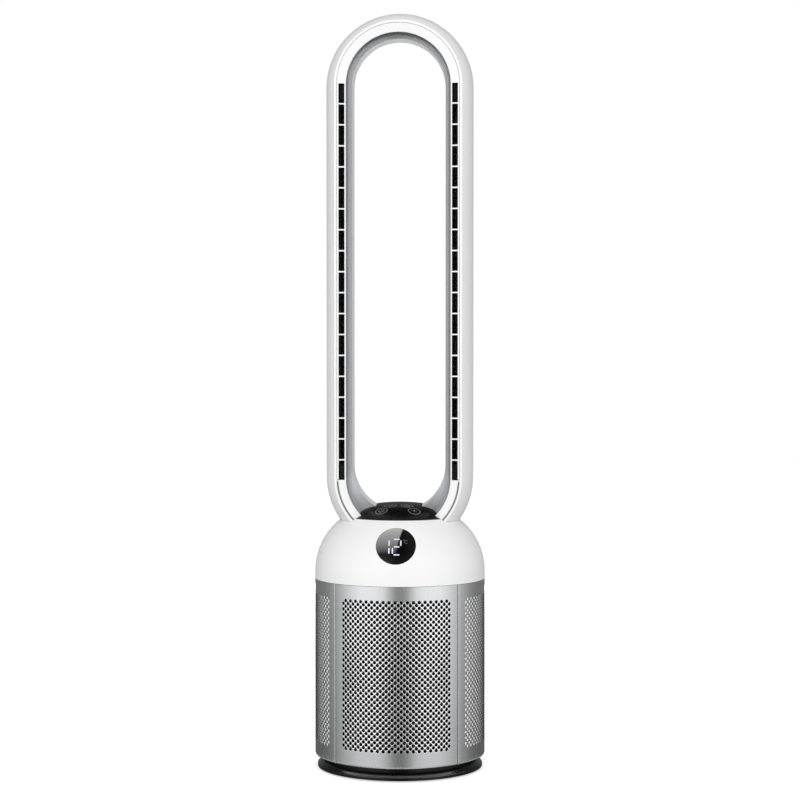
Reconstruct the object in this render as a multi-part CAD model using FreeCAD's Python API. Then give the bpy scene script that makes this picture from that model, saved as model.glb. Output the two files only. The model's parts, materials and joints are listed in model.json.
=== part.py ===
"""Bladeless tower fan heater: a tall loop outlet on a perforated barrel that swivels on a foot.

Millimetres, +Z up, the front faces -Y, the origin is the centre of the foot on the floor.
"""
import FreeCAD, Part
import math
import os

V = FreeCAD.Vector
UP = V(0, 0, 1)

# Fits and gaps
sliding_gap = 0.3
seat_gap = 0.1
bearing_gap = 0.05
shell_gap = 0.35

# Foot
foot_radius = 102.0
foot_thickness = 9.9
foot_rim_height = 5.5
foot_edge_round = 1.6
foot_shoulder = 0.8
foot_lift = 1.2
foot_pad_height = 3.2
foot_pad_inner = 82.0
foot_pad_outer = 96.0
neck_radius = 96.0
neck_height = 4.0
neck_wall = 14.0
ballast_inner = 40.0
ballast_outer = 78.0
ballast_thickness = 4.0
ballast_screw_count = 4
ballast_screw_radius = 2.0
post_radius = 22.0
cable_bore_radius = 9.0
bearing_inner = 84.0
bearing_outer = 94.0
bearing_thickness = 1.0

# Swivel gears
gear_module = 1.0
gear_pressure = math.radians(20)
gear_backlash = 0.16
gear_thickness = 6.0
sun_teeth = 48
pinion_teeth = 16
gear_spigot_radius = 15.0
gear_screw_count = 3
gear_screw_radius = 1.5
pinion_shaft_radius = 2.5
swivel_motor_radius = 17.5
swivel_motor_height = 18.0
swivel_motor_ear = 21.0
swivel_motor_lift = 2.5

# Chassis tray
tray_radius = 100.0
tray_floor = 2.8
tray_rim_wall = 4.0
tray_rim_height = 7.0
tray_hub_radius = 28.0
tray_hub_height = 4.6
boss_radius = 4.0
gland_radius = 6.0
gland_flange_radius = 6.8
gland_bore_radius = 3.6
gland_height = 9.8
gland_block_width = 20.0
gland_block_depth = 7.5

# Power board
board_thickness = 1.6
board_lift = 13.0
power_board_length = 80.0
power_board_width = 46.0
power_board_offset = 53.0

# Barrel of four perforated panels
barrel_radius = 105.0
panel_rise = 0.4
panel_height = 218.5
panel_sheet = 1.0
panel_flange = 3.0
panel_seam = 1.4
panel_foot_round = 3.0
hole_radius = 4.0
hole_pitch = 14.39
hole_row_pitch = 6.86
hole_window_angle = 38.0
hole_window_bottom = 21.4
hole_window_top = 18.6
magnet_radius = 1.8
magnet_thickness = 3.4
magnet_angle = 24.0

# Inlet cage and filter
cage_inner = 89.5
cage_ring_height = 4.0
pillar_depth = 8.0
pillar_angle = 8.0
pillar_recess = 0.4
filter_thickness = 1.5
cage_lip_height = 1.3
cage_lip_drop = 6.3
cage_spigot_rise = 7.0
cage_spigot_wall = 6.0

# Fan
duct_wall = 2.2
duct_throat_radius = 46.0
duct_mouth_radius = 62.0
duct_mouth_height = 16.0
duct_exit_radius = 66.0
duct_length = 116.0
duct_flange = 3.0
duct_flange_radius = 94.0
pod_radius = 30.0
pod_wall = 2.0
pod_length = 52.0
vane_count = 11
vane_thickness = 1.8
vane_twist = -28.0
rotor_shaft_radius = 4.0
rotor_gap = 1.2
impeller_blades = 9
impeller_height = 36.0
impeller_nose_radius = 13.0
impeller_lift = 18.0
blade_thickness = 1.6
blade_twist = 46.0
fan_bearing_radius = 9.0
fan_bearing_height = 6.0

# Dome on the barrel
dome_seam = 0.4
dome_straight = 8.7
dome_arc_radius = 80.7
dome_wall = 2.6
dome_rim_radius = 69.0
dome_ledge = 5.0
dome_ledge_height = 2.0
display_radius = 24.0
display_rise = 49.0
display_module_radius = 19.0
display_module_depth = 5.0
cap_gap = 0.4
cap_wall = 2.6
cap_crown_radius = 235.0
cap_crown_reach = 40.0
cap_rise = 17.3
touch_board_length = 26.0
touch_board_width = 46.0
touch_board_centre = 46.0
touch_board_drop = 5.5
touch_spring_radius = 3.0
touch_key_side = 20.0
touch_key_row = 8.0

# Air manifold under the loop
manifold_flange = 3.0
manifold_wall = 2.4
manifold_bore = 39.5
manifold_top_radius = 60.0
manifold_top_plate = 2.5
gasket_thickness = 1.5
gasket_radius = 57.5

# Loop
loop_radius = 90.7
loop_straight = 479.0
loop_depth = 90.0
loop_wall = 2.4
loop_low_rise = 124.7
neck_rise = 52.7
rim_outer = 77.7
rim_inner = 75.0
rim_depth = 5.0
shelf_inner = 73.0
rear_outer = 79.0
rear_round = 7.0
parting_gap = 0.2
grille_inner = 63.9
grille_thickness = 2.4
grille_recess = 0.2
grille_lean = math.radians(17)
groove = 0.6
low_groove = 1.6
slot_count = 19
slot_inner = 65.4
slot_width = 7.2
slot_overrun = 1.5
slot_rib = 1.6
trim_thickness = 1.6
trim_front_inner = 63.6
trim_rear_inner = 57.4
trim_depth = 13.8
trim_steps = 4
trim_rear_rise = 15.0
waist_inner = 56.3
waist_rise = 15.7
back_inner = 66.0

# Heater cores behind the slots
heater_margin = 16.0
heater_wall = 0.9
heater_throat_depth = 6.0
heater_body_depth = 24.0
heater_body_inner = 64.6
heater_body_outer = 79.0
heater_fin_pitch = 9.0
heater_fin = 1.0
heater_bar = 2.4
cutout_radius = 4.0
cutout_height = 9.0

# Heights worked out from the sizes above
tray_bottom = foot_thickness + neck_height + bearing_thickness
floor_top = tray_bottom + tray_floor
rim_top = floor_top + tray_rim_height
hub_top = tray_bottom + tray_hub_height
post_top = hub_top + 0.2
gear_top = post_top + gear_thickness
gear_distance = gear_module * (sun_teeth + pinion_teeth) / 2
swivel_motor_bottom = gear_top + swivel_motor_lift
gland_z = tray_bottom + gland_height
panel_bottom = tray_bottom + panel_rise
panel_top = panel_bottom + panel_height
panel_inner = barrel_radius - panel_sheet
dome_bottom = panel_top + dome_seam
cage_bottom = rim_top
cage_top = dome_bottom - cage_lip_drop
filter_bottom = cage_bottom + cage_ring_height
filter_top = cage_top - cage_ring_height
duct_top = cage_top + duct_flange
duct_bottom = duct_top - duct_length
throat_z = duct_bottom + duct_mouth_height
impeller_bottom = duct_bottom + impeller_lift
impeller_top = impeller_bottom + impeller_height
pod_bottom = impeller_top + 2 * rotor_gap
pod_top = pod_bottom + pod_length
dome_arc_z = dome_bottom + dome_straight
dome_arc_r = barrel_radius - dome_arc_radius
neck_z = dome_bottom + neck_rise
gasket_z = neck_z - gasket_thickness
loop_low = dome_bottom + loop_low_rise
loop_high = loop_low + loop_straight
loop_front = -loop_depth / 2
loop_back = loop_depth / 2
grille_front = loop_front + grille_recess
grille_outer = rim_inner - groove
grille_depth = (grille_outer - grille_inner) * math.tan(grille_lean)
grille_back = grille_front + grille_depth + grille_thickness
trim_front = grille_back + seat_gap
trim_rear = trim_front + trim_depth
heater_front = grille_back - (slot_inner - grille_inner) * math.tan(grille_lean) + seat_gap
display_angle = math.asin((display_rise - dome_straight) / dome_arc_radius)


def disc(radius, low, high, x=0.0, y=0.0):
    """Upright cylinder between two heights."""
    return Part.makeCylinder(radius, high - low, V(x, y, low))


def ring(inner, outer, low, high):
    """Upright tube wall between two heights."""
    return disc(outer, low, high).cut(disc(inner, low - 1, high + 1))


def box(x_low, x_high, y_low, y_high, z_low, z_high):
    """Block between two corners."""
    return Part.makeBox(x_high - x_low, y_high - y_low, z_high - z_low, V(x_low, y_low, z_low))


def line(a, b):
    """Straight edge."""
    return Part.makeLine(a, b)


def arc(a, middle, b):
    """Round edge through three points."""
    return Part.Arc(a, middle, b).toShape()


def turned(edges, angle=360.0):
    """Solid of revolution about Z from edges in the XZ plane."""
    return Part.Face(Part.Wire(edges)).revolve(V(0, 0, 0), UP, angle)


def turned_polygon(points):
    """Solid of revolution about Z from radius and height pairs."""
    corners = [V(r, 0, z) for r, z in points]
    return Part.Face(Part.makePolygon(corners + corners[:1])).revolve(V(0, 0, 0), UP, 360)


def spun(shape, angle):
    """Copy turned about Z, in degrees."""
    copy = shape.copy()
    copy.rotate(V(0, 0, 0), UP, angle)
    return copy


def mirrored(shape):
    """Copy on the other side of the middle plane X = 0."""
    return shape.mirror(V(0, 0, 0), V(1, 0, 0))


def joined(shapes):
    """One shape from several that overlap or touch."""
    return shapes[0].multiFuse(shapes[1:]).removeSplitter()


def around(count, radius, start=0.0):
    """Points evenly spaced on a circle."""
    steps = [start + 2 * math.pi * i / count for i in range(count)]
    return [(radius * math.cos(a), radius * math.sin(a)) for a in steps]


def screw(x, y, head_low, head_high, tip, radius):
    """Pan-head screw; the tip may lie above or below the head."""
    head = disc(1.8 * radius, head_low, head_high, x, y)
    low = min(tip, head_low)
    high = max(tip, head_high)
    return head.fuse(disc(radius, low, high, x, y)).removeSplitter()


# Foot

def make_foot_base():
    """Round foot with a low rim and a sloping top, a neck for the swivel and the centre post."""
    spigot = gear_spigot_radius - seat_gap
    corners = [
        V(foot_radius, 0, foot_rim_height - foot_edge_round),
        V(foot_radius, 0, foot_lift),
        V(cable_bore_radius, 0, foot_lift),
        V(cable_bore_radius, 0, gear_top),
        V(spigot, 0, gear_top),
        V(spigot, 0, post_top),
        V(post_radius, 0, post_top),
        V(post_radius, 0, foot_thickness),
        V(neck_radius - neck_wall, 0, foot_thickness),
        V(neck_radius - neck_wall, 0, foot_thickness + neck_height),
        V(neck_radius, 0, foot_thickness + neck_height),
        V(neck_radius, 0, foot_thickness),
        V(neck_radius + foot_shoulder, 0, foot_thickness),
        V(foot_radius - foot_edge_round, 0, foot_rim_height),
    ]
    edges = [line(a, b) for a, b in zip(corners[:-1], corners[1:])]
    inset = foot_edge_round * (1 - math.sqrt(0.5))
    edge_mid = V(foot_radius - inset, 0, foot_rim_height - inset)
    edges.append(arc(corners[-1], edge_mid, corners[0]))
    foot = turned(edges)
    foot = foot.cut(ring(foot_pad_inner, foot_pad_outer, 0, foot_pad_height))
    pocket = ring(ballast_inner, ballast_outer, 0, foot_lift + ballast_thickness)
    foot = foot.cut(pocket)
    for x, y in ballast_points():
        foot = foot.cut(disc(ballast_screw_radius + seat_gap, 0, foot_thickness - 1, x, y))
    for x, y in gear_points():
        foot = foot.cut(disc(gear_screw_radius + seat_gap, foot_thickness, gear_top, x, y))
    return foot


def ballast_points():
    """Places of the ballast screws."""
    return around(ballast_screw_count, (ballast_inner + ballast_outer) / 2, math.pi / 4)


def gear_points():
    """Places of the screws that hold the fixed gear on the post."""
    return around(gear_screw_count, (gear_spigot_radius + post_radius) / 2, math.pi / 2)


def make_foot_pad():
    """Rubber ring that stands on the floor."""
    return ring(foot_pad_inner + seat_gap, foot_pad_outer - seat_gap, 0, foot_pad_height)


def make_ballast_plate():
    """Steel ring in the underside of the foot."""
    plate = ring(
        ballast_inner + seat_gap, ballast_outer - seat_gap, foot_lift, foot_lift + ballast_thickness
    )
    for x, y in ballast_points():
        plate = plate.cut(disc(ballast_screw_radius + seat_gap, 0, foot_thickness, x, y))
    return plate


def make_ballast_screws():
    """Screws that hold the ballast from below."""
    head_low = foot_lift - 0.9
    tip = foot_thickness - 1.5
    screws = [screw(x, y, head_low, foot_lift, tip, ballast_screw_radius) for x, y in ballast_points()]
    return Part.makeCompound(screws)


def make_swivel_bearing():
    """Slippery ring that carries the tower on the neck of the foot."""
    return ring(bearing_inner, bearing_outer, foot_thickness + neck_height, tray_bottom)


def gear_wire(teeth):
    """Spur gear outline with involute flanks, one tooth on +X."""
    pitch = gear_module * teeth / 2
    base = pitch * math.cos(gear_pressure)
    root = pitch - 1.25 * gear_module
    tip = pitch + gear_module
    start = max(base, root)
    half_tooth = math.pi / (2 * teeth) - gear_backlash / (2 * pitch)
    pitch_roll = math.tan(gear_pressure) - gear_pressure
    flank = [(root, start)]
    steps = 4
    for i in range(steps):
        r = start + (tip - start) * i / (steps - 1)
        flank.append((r, r))
    points = []
    for tooth in range(teeth):
        middle = 2 * math.pi * tooth / teeth
        side = []
        for r, r_flank in flank:
            turn = math.acos(min(1.0, base / r_flank))
            half = half_tooth + pitch_roll - (math.tan(turn) - turn)
            side.append((r, half))
        if root >= base:
            side = side[1:]
        left = [(r, middle - half) for r, half in side]
        right = [(r, middle + half) for r, half in reversed(side)]
        points += [V(r * math.cos(a), r * math.sin(a), 0) for r, a in left + right]
    return Part.makePolygon(points + points[:1])


def gear(teeth, low):
    """Spur gear on the Z axis."""
    wheel = Part.Face(gear_wire(teeth)).extrude(V(0, 0, gear_thickness))
    wheel.translate(V(0, 0, low))
    return wheel


def make_sun_gear():
    """Gear fixed to the foot that the tower's pinion walks around."""
    wheel = gear(sun_teeth, post_top).cut(disc(gear_spigot_radius, post_top - 1, gear_top + 1))
    for x, y in gear_points():
        wheel = wheel.cut(disc(gear_screw_radius + seat_gap, post_top - 1, gear_top + 1, x, y))
    return wheel


def make_gear_screws():
    """Screws of the fixed gear."""
    tip = foot_thickness + 1
    head_high = gear_top + 1.2
    screws = [screw(x, y, gear_top, head_high, tip, gear_screw_radius) for x, y in gear_points()]
    return Part.makeCompound(screws)


# Swivel drive

def make_swivel_pinion():
    """Pinion and motor shaft in one piece, on the left of the post."""
    wheel = gear(pinion_teeth, post_top)
    wheel.rotate(V(0, 0, 0), UP, 180.0 / pinion_teeth)
    shaft_top = swivel_motor_bottom + swivel_motor_height - 3
    wheel = wheel.fuse(disc(pinion_shaft_radius, post_top, shaft_top))
    wheel.translate(V(-gear_distance, 0, 0))
    return wheel.removeSplitter()


def motor_ear_points():
    """Centres of the two motor ears."""
    return [(-gear_distance, -swivel_motor_ear), (-gear_distance, swivel_motor_ear)]


def make_swivel_motor():
    """Flat can motor with two ears, shaft down."""
    low = swivel_motor_bottom
    can = disc(swivel_motor_radius, low, low + swivel_motor_height, -gear_distance)
    ear_plate = 1.2
    shapes = [can]
    for x, y in motor_ear_points():
        shapes.append(disc(boss_radius, low, low + ear_plate, x, y))
    shapes.append(box(
        -gear_distance - boss_radius, -gear_distance + boss_radius,
        -swivel_motor_ear, swivel_motor_ear, low, low + ear_plate))
    motor = joined(shapes)
    for x, y in motor_ear_points():
        motor = motor.cut(disc(1.6, low - 1, low + ear_plate + 1, x, y))
    bore_top = low + swivel_motor_height - 2
    return motor.cut(disc(pinion_shaft_radius + bearing_gap, low - 1, bore_top, -gear_distance))


def make_swivel_motor_screws():
    """Screws through the motor ears."""
    low = swivel_motor_bottom + 1.2
    screws = [screw(x, y, low, low + 1.4, floor_top + 1, 1.5) for x, y in motor_ear_points()]
    return Part.makeCompound(screws)


# Chassis

def power_board_points():
    """Corner posts under the power board."""
    x_span = power_board_width / 2 - boss_radius
    y_span = power_board_length / 2 - boss_radius
    corners = [(-1, -1), (1, -1), (1, 1), (-1, 1)]
    return [(power_board_offset + a * x_span, b * y_span) for a, b in corners]


def make_chassis_tray():
    """Moulded floor of the tower with its hub, rim, posts and cord block."""
    block = gland_block_width / 2
    shapes = [
        disc(tray_radius, tray_bottom, floor_top),
        ring(tray_radius - tray_rim_wall, tray_radius, tray_bottom, rim_top),
        disc(tray_hub_radius, tray_bottom, hub_top),
    ]
    for x, y in motor_ear_points():
        shapes.append(disc(boss_radius, tray_bottom, swivel_motor_bottom, x, y))
    for x, y in power_board_points():
        shapes.append(disc(boss_radius, tray_bottom, floor_top + board_lift, x, y))
    tray = joined(shapes)
    gland_top = gland_z + gland_radius + 1.5
    rim_box = box(-block, block, tray_radius - gland_block_depth, tray_radius - 1, floor_top, gland_top)
    tray = tray.fuse(rim_box.common(disc(tray_radius, tray_bottom, gland_top))).removeSplitter()
    tray = tray.cut(disc(post_radius + bearing_gap, 0, gear_top))
    hole = Part.makeCylinder(gland_radius + seat_gap, 40, V(0, tray_radius - 30, gland_z), V(0, 1, 0))
    tray = tray.cut(hole)
    for x, y in motor_ear_points():
        tray = tray.cut(disc(1.6, floor_top + 0.5, swivel_motor_bottom + 1, x, y))
    return tray


def make_cord_gland():
    """Bushing in the rear of the tray where the mains lead enters."""
    start = tray_radius - gland_block_depth
    end = barrel_radius - sliding_gap
    outward = V(0, 1, 0)
    bush = Part.makeCylinder(gland_radius, end - start, V(0, start, gland_z), outward)
    flange = Part.makeCylinder(gland_flange_radius, 2.0, V(0, tray_radius, gland_z), outward)
    bore = Part.makeCylinder(gland_bore_radius, 40, V(0, start - 10, gland_z), outward)
    return bush.fuse(flange).removeSplitter().cut(bore)


def make_power_board():
    """Circuit board of the heater and fan drive."""
    low = floor_top + board_lift
    x_half = power_board_width / 2
    y_half = power_board_length / 2
    return box(
        power_board_offset - x_half, power_board_offset + x_half, -y_half, y_half,
        low, low + board_thickness)


def make_power_components():
    """Main parts on the power board: relay blocks, capacitors and a heat sink."""
    low = floor_top + board_lift + board_thickness
    x = power_board_offset
    shapes = [box(x - 18, x + 2, -34, -18, low, low + 15)]
    shapes.append(box(x - 18, x + 2, -14, 2, low, low + 15))
    for y in (-26, -10):
        shapes.append(disc(6.5, low, low + 24, x + 13, y))
    sink_base = box(x - 16, x + 16, 12, 34, low, low + 3)
    fins = [box(x - 16 + 6 * i, x - 14 + 6 * i, 12, 34, low, low + 22) for i in range(6)]
    shapes.append(joined([sink_base] + fins))
    return Part.makeCompound(shapes)


# Barrel

def plain_panel():
    """Quarter of the barrel wall before its holes: sheet, turned-in lower lip and side flanges."""
    half = 45.0 - math.degrees(panel_seam / 2 / barrel_radius)
    bend = panel_foot_round
    bend_z = panel_bottom + bend
    bend_r = barrel_radius - bend
    slant = math.sqrt(0.5)
    small = bend - panel_sheet
    top_out = V(barrel_radius, 0, panel_top)
    low_out = V(barrel_radius, 0, bend_z)
    lip_out = V(bend_r, 0, panel_bottom)
    lip_in = V(bend_r, 0, panel_bottom + panel_sheet)
    low_in = V(panel_inner, 0, bend_z)
    top_in = V(panel_inner, 0, panel_top)
    outer_mid = V(bend_r + bend * slant, 0, bend_z - bend * slant)
    inner_mid = V(bend_r + small * slant, 0, bend_z - small * slant)
    edges = [
        line(top_out, low_out),
        arc(low_out, outer_mid, lip_out),
        line(lip_out, lip_in),
        arc(lip_in, inner_mid, low_in),
        line(low_in, top_in),
        line(top_in, top_out),
    ]
    wall = turned(edges, 2 * half)
    flange_in = panel_inner - panel_flange
    flange_angle = math.degrees(panel_sheet / barrel_radius)
    flange_top = cage_top - sliding_gap
    root = panel_inner + panel_sheet / 2
    flange_corners = [
        V(flange_in, 0, bend_z), V(root, 0, bend_z), V(root, 0, flange_top), V(flange_in, 0, flange_top),
    ]
    flange_face = Part.Face(Part.makePolygon(flange_corners + flange_corners[:1]))
    first = flange_face.revolve(V(0, 0, 0), UP, flange_angle)
    last = spun(first, 2 * half - flange_angle)
    return spun(joined([wall, first, last]), -90 - half)


def perforated_panel():
    """Front quarter of the barrel with its staggered round holes."""
    low = panel_bottom + hole_window_bottom
    high = panel_top - hole_window_top
    reach = math.radians(hole_window_angle) * barrel_radius
    rows = int((high - low) / hole_row_pitch) + 1
    punches = []
    for row in range(rows):
        shift = 0.5 * (row % 2)
        side = int(reach / hole_pitch - shift)
        columns = range(-side - row % 2, side + 1)
        for column in columns:
            angle = (column + shift) * hole_pitch / barrel_radius
            outward = V(math.sin(angle), -math.cos(angle), 0)
            foot = outward * (panel_inner - 2) + V(0, 0, low + row * hole_row_pitch)
            punches.append(Part.makeCylinder(hole_radius, panel_sheet + 4, foot, outward))
    return plain_panel().cut(Part.makeCompound(punches))


def make_rear_panel(front):
    """Rear quarter, notched at the bottom for the cord bushing."""
    panel = spun(front, 180)
    radius = gland_flange_radius + 2 * sliding_gap
    notch = Part.makeCylinder(radius, 20, V(0, tray_radius - 5, gland_z), V(0, 1, 0))
    slot = box(-radius, radius, tray_radius - 5, tray_radius + 15, 0, gland_z)
    return panel.cut(notch.fuse(slot))


def make_panel_magnets():
    """Magnets on the cage that hold the rear panel."""
    shapes = []
    for side in (-1, 1):
        angle = math.radians(90 + side * magnet_angle)
        outward = V(math.cos(angle), math.sin(angle), 0)
        for low in (cage_bottom, cage_top - cage_ring_height):
            z = low + cage_ring_height / 2
            base = outward * tray_radius + V(0, 0, z)
            shapes.append(Part.makeCylinder(magnet_radius, magnet_thickness, base, outward))
    return Part.makeCompound(shapes)


def make_inlet_cage():
    """Frame behind the panels: two rings, four pillars and the spigot for the dome."""
    outer = tray_radius
    spigot = barrel_radius - dome_wall - sliding_gap
    face_radius = outer - pillar_recess
    low = cage_bottom + cage_ring_height / 2
    high = cage_top - cage_ring_height / 2
    corners = [
        V(outer - pillar_depth, 0, low), V(face_radius, 0, low),
        V(face_radius, 0, high), V(outer - pillar_depth, 0, high),
    ]
    face = Part.Face(Part.makePolygon(corners + corners[:1]))
    pillar = spun(face.revolve(V(0, 0, 0), UP, pillar_angle), 45 - pillar_angle / 2)
    lip_low = dome_bottom - cage_lip_height
    lip_outer = panel_inner - sliding_gap
    spigot_top = dome_bottom + cage_spigot_rise
    spigot_inner = spigot - cage_spigot_wall
    ring_low = cage_top - cage_ring_height
    collar = turned_polygon([
        (cage_inner, ring_low), (outer, ring_low), (outer, cage_top), (spigot, cage_top),
        (spigot, lip_low), (lip_outer, lip_low), (lip_outer, dome_bottom), (spigot, dome_bottom),
        (spigot, spigot_top), (spigot_inner, spigot_top), (spigot_inner, cage_top), (cage_inner, cage_top),
    ])
    base_ring = ring(cage_inner, outer, cage_bottom, cage_bottom + cage_ring_height)
    block = gland_block_width / 2 + sliding_gap
    gland_room = box(-block, block, cage_inner - 5, outer + 5, cage_bottom - 1, gland_z + gland_radius + 2)
    return joined([base_ring.cut(gland_room), collar] + [spun(pillar, 90 * i) for i in range(4)])


def make_dust_filter():
    """Fine mesh sleeve inside the cage."""
    outer = tray_radius - pillar_depth - seat_gap
    return ring(outer - filter_thickness, outer, filter_bottom, filter_top)


# Fan

def duct_radius(z):
    """Inner radius of the duct between throat and exit."""
    share = (z - throat_z) / (duct_top - throat_z)
    return duct_throat_radius + (duct_exit_radius - duct_throat_radius) * share


def make_fan_duct():
    """Bell mouth, widening wall and top flange."""
    mouth_mid_r = duct_throat_radius + 0.3 * (duct_mouth_radius - duct_throat_radius)
    mouth_mid_z = duct_bottom + 0.3 * duct_mouth_height
    w = duct_wall
    flange_low = duct_top - duct_flange
    mouth = V(duct_mouth_radius, 0, duct_bottom)
    throat = V(duct_throat_radius, 0, throat_z)
    exit_edge = V(duct_exit_radius, 0, duct_top)
    throat_out = V(duct_throat_radius + w, 0, throat_z)
    mouth_out = V(duct_mouth_radius, 0, duct_bottom + w)
    edges = [
        arc(mouth, V(mouth_mid_r, 0, mouth_mid_z), throat),
        line(throat, exit_edge),
        line(exit_edge, V(duct_flange_radius, 0, duct_top)),
        line(V(duct_flange_radius, 0, duct_top), V(duct_flange_radius, 0, flange_low)),
        line(V(duct_flange_radius, 0, flange_low), V(duct_radius(flange_low) + w, 0, flange_low)),
        line(V(duct_radius(flange_low) + w, 0, flange_low), throat_out),
        arc(throat_out, V(mouth_mid_r + w, 0, mouth_mid_z + w), mouth_out),
        line(mouth_out, mouth),
    ]
    return turned(edges)


def blade(low, high, root, tip, twist, thickness):
    """Twisted blade lofted through level sections; root and tip give the radius at a height."""
    sections = 4
    wires = []
    for i in range(sections):
        share = i / (sections - 1)
        z = low + (high - low) * share
        half = thickness / 2
        corners = [V(root(z), -half, z), V(tip(z), -half, z), V(tip(z), half, z), V(root(z), half, z)]
        wire = Part.makePolygon(corners + corners[:1])
        wire.rotate(V(0, 0, 0), UP, twist * share)
        wires.append(wire)
    return Part.makeLoft(wires, True, True)


def hub_radius(z):
    """Outer radius of the impeller hub at a height."""
    share = (z - impeller_bottom) / impeller_height
    return impeller_nose_radius + (pod_radius - impeller_nose_radius) * share


def make_impeller():
    """Mixed-flow wheel: cone hub with twisted blades."""
    bore = rotor_shaft_radius + 0.02
    hub = turned_polygon([
        (bore, impeller_bottom), (impeller_nose_radius, impeller_bottom),
        (pod_radius, impeller_top), (bore, impeller_top),
    ])
    one = blade(
        impeller_bottom + 1, impeller_top - 1,
        lambda z: hub_radius(z) - 2, lambda z: duct_radius(z) - rotor_gap,
        blade_twist, blade_thickness)
    blades = [spun(one, 360.0 * i / impeller_blades) for i in range(impeller_blades)]
    return joined([hub] + blades)


def make_rotor_shaft():
    """Shaft through the impeller into the motor pod."""
    return disc(rotor_shaft_radius, impeller_bottom - 8, pod_top - 2 * fan_bearing_height)


def make_impeller_nut():
    """Dome nut under the impeller."""
    low = impeller_bottom - 9.5
    nut = turned_polygon([
        (0, low), (4.0, low), (8.0, low + 4), (8.0, impeller_bottom), (0, impeller_bottom),
    ])
    return nut.cut(disc(rotor_shaft_radius + 0.02, impeller_bottom - 8.02, impeller_bottom + 1))


def make_motor_pod():
    """Fan motor housing held in the duct by guide vanes."""
    r = pod_radius
    nose = pod_top + 0.5 * r
    inner = r - pod_wall
    bearing = fan_bearing_radius + seat_gap
    shell = turned_polygon([
        (rotor_shaft_radius + 2, pod_bottom), (r, pod_bottom), (r, pod_top), (0.35 * r, nose), (0, nose),
        (0, nose - pod_wall), (0.35 * r, nose - pod_wall), (inner, pod_top - 1),
        (inner, pod_bottom + fan_bearing_height), (bearing, pod_bottom + fan_bearing_height),
        (bearing, pod_bottom + pod_wall), (rotor_shaft_radius + 2, pod_bottom + pod_wall),
    ])
    one = blade(
        pod_bottom + 4, pod_top - 6, lambda z: r - 1, lambda z: duct_radius(z) - seat_gap,
        vane_twist, vane_thickness)
    vanes = [spun(one, 360.0 * i / vane_count) for i in range(vane_count)]
    return joined([shell] + vanes)


def make_fan_bearings():
    """Two ball bearings of the fan shaft, drawn as rings."""
    low = pod_bottom + pod_wall
    bore = rotor_shaft_radius + bearing_gap
    lower = ring(bore, fan_bearing_radius, low, low + fan_bearing_height)
    upper_low = pod_top - 4 * fan_bearing_height + 4
    upper = ring(bore, fan_bearing_radius, upper_low, upper_low + fan_bearing_height)
    return Part.makeCompound([lower, upper])


def make_motor_stator():
    """Laminated stator in the pod with the upper bearing seat."""
    low = pod_bottom + fan_bearing_height
    inner = rotor_shaft_radius + 3
    outer = pod_radius - pod_wall - seat_gap
    upper_low = pod_top - 4 * fan_bearing_height + 4
    seat = fan_bearing_radius + seat_gap
    return turned_polygon([
        (inner, low + 2.5), (outer, low + 2.5), (outer, upper_low + fan_bearing_height),
        (seat, upper_low + fan_bearing_height), (seat, upper_low), (inner, upper_low),
    ])


def make_air_manifold():
    """Cone from the fan outlet to the neck of the loop."""
    w = manifold_wall
    flange_top = duct_top + manifold_flange
    plate_low = gasket_z - manifold_top_plate
    return turned_polygon([
        (duct_exit_radius, duct_top), (duct_flange_radius, duct_top), (duct_flange_radius, flange_top),
        (duct_exit_radius + w, flange_top), (manifold_top_radius, plate_low),
        (manifold_top_radius, gasket_z), (manifold_bore, gasket_z), (manifold_bore, plate_low - w),
        (manifold_top_radius - 2 * w, plate_low - w),
    ])


def make_loop_gasket():
    """Flat seal between the manifold and the loop."""
    return ring(manifold_bore, gasket_radius, gasket_z, neck_z)


# Loop

def racetrack(half_width, y, low, high):
    """Upright racetrack outline at one depth, with round ends centred at two heights."""
    w = half_width
    return Part.Wire([
        line(V(w, y, low), V(w, y, high)),
        arc(V(w, y, high), V(0, y, high + w), V(-w, y, high)),
        line(V(-w, y, high), V(-w, y, low)),
        arc(V(-w, y, low), V(0, y, low - w), V(w, y, low)),
    ])


def swept_round(edges):
    """Loop from a section in the XY plane, X being the distance from the loop's own centre."""
    section = Part.Face(Part.Wire(edges))
    leg = section.copy()
    leg.translate(V(0, 0, loop_low))
    leg = leg.extrude(V(0, 0, loop_straight))
    across = V(0, 1, 0)
    top = section.copy()
    top.translate(V(0, 0, loop_high))
    top = top.revolve(V(0, 0, loop_high), across, -180)
    bottom = section.copy()
    bottom.translate(V(0, 0, loop_low))
    bottom = bottom.revolve(V(0, 0, loop_low), across, 180)
    return joined([leg, top, mirrored(leg), bottom])


def above_neck(shape):
    """Loop piece cut level where it stands on the neck seal."""
    span = 2 * loop_radius
    return shape.cut(box(-span, span, -span, span, neck_z - span, neck_z))


def side_arc(radius, edge_width, edge_depth):
    """Bulge of the loop's side: radius of the arc through its widest point and one edge."""
    rise = radius - edge_width
    return (rise * rise + edge_depth * edge_depth) / (2 * rise)


def side_point(bulge, centre, y):
    """Point on a side arc at one depth."""
    return V(centre + math.sqrt(bulge * bulge - y * y), y, 0)


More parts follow.
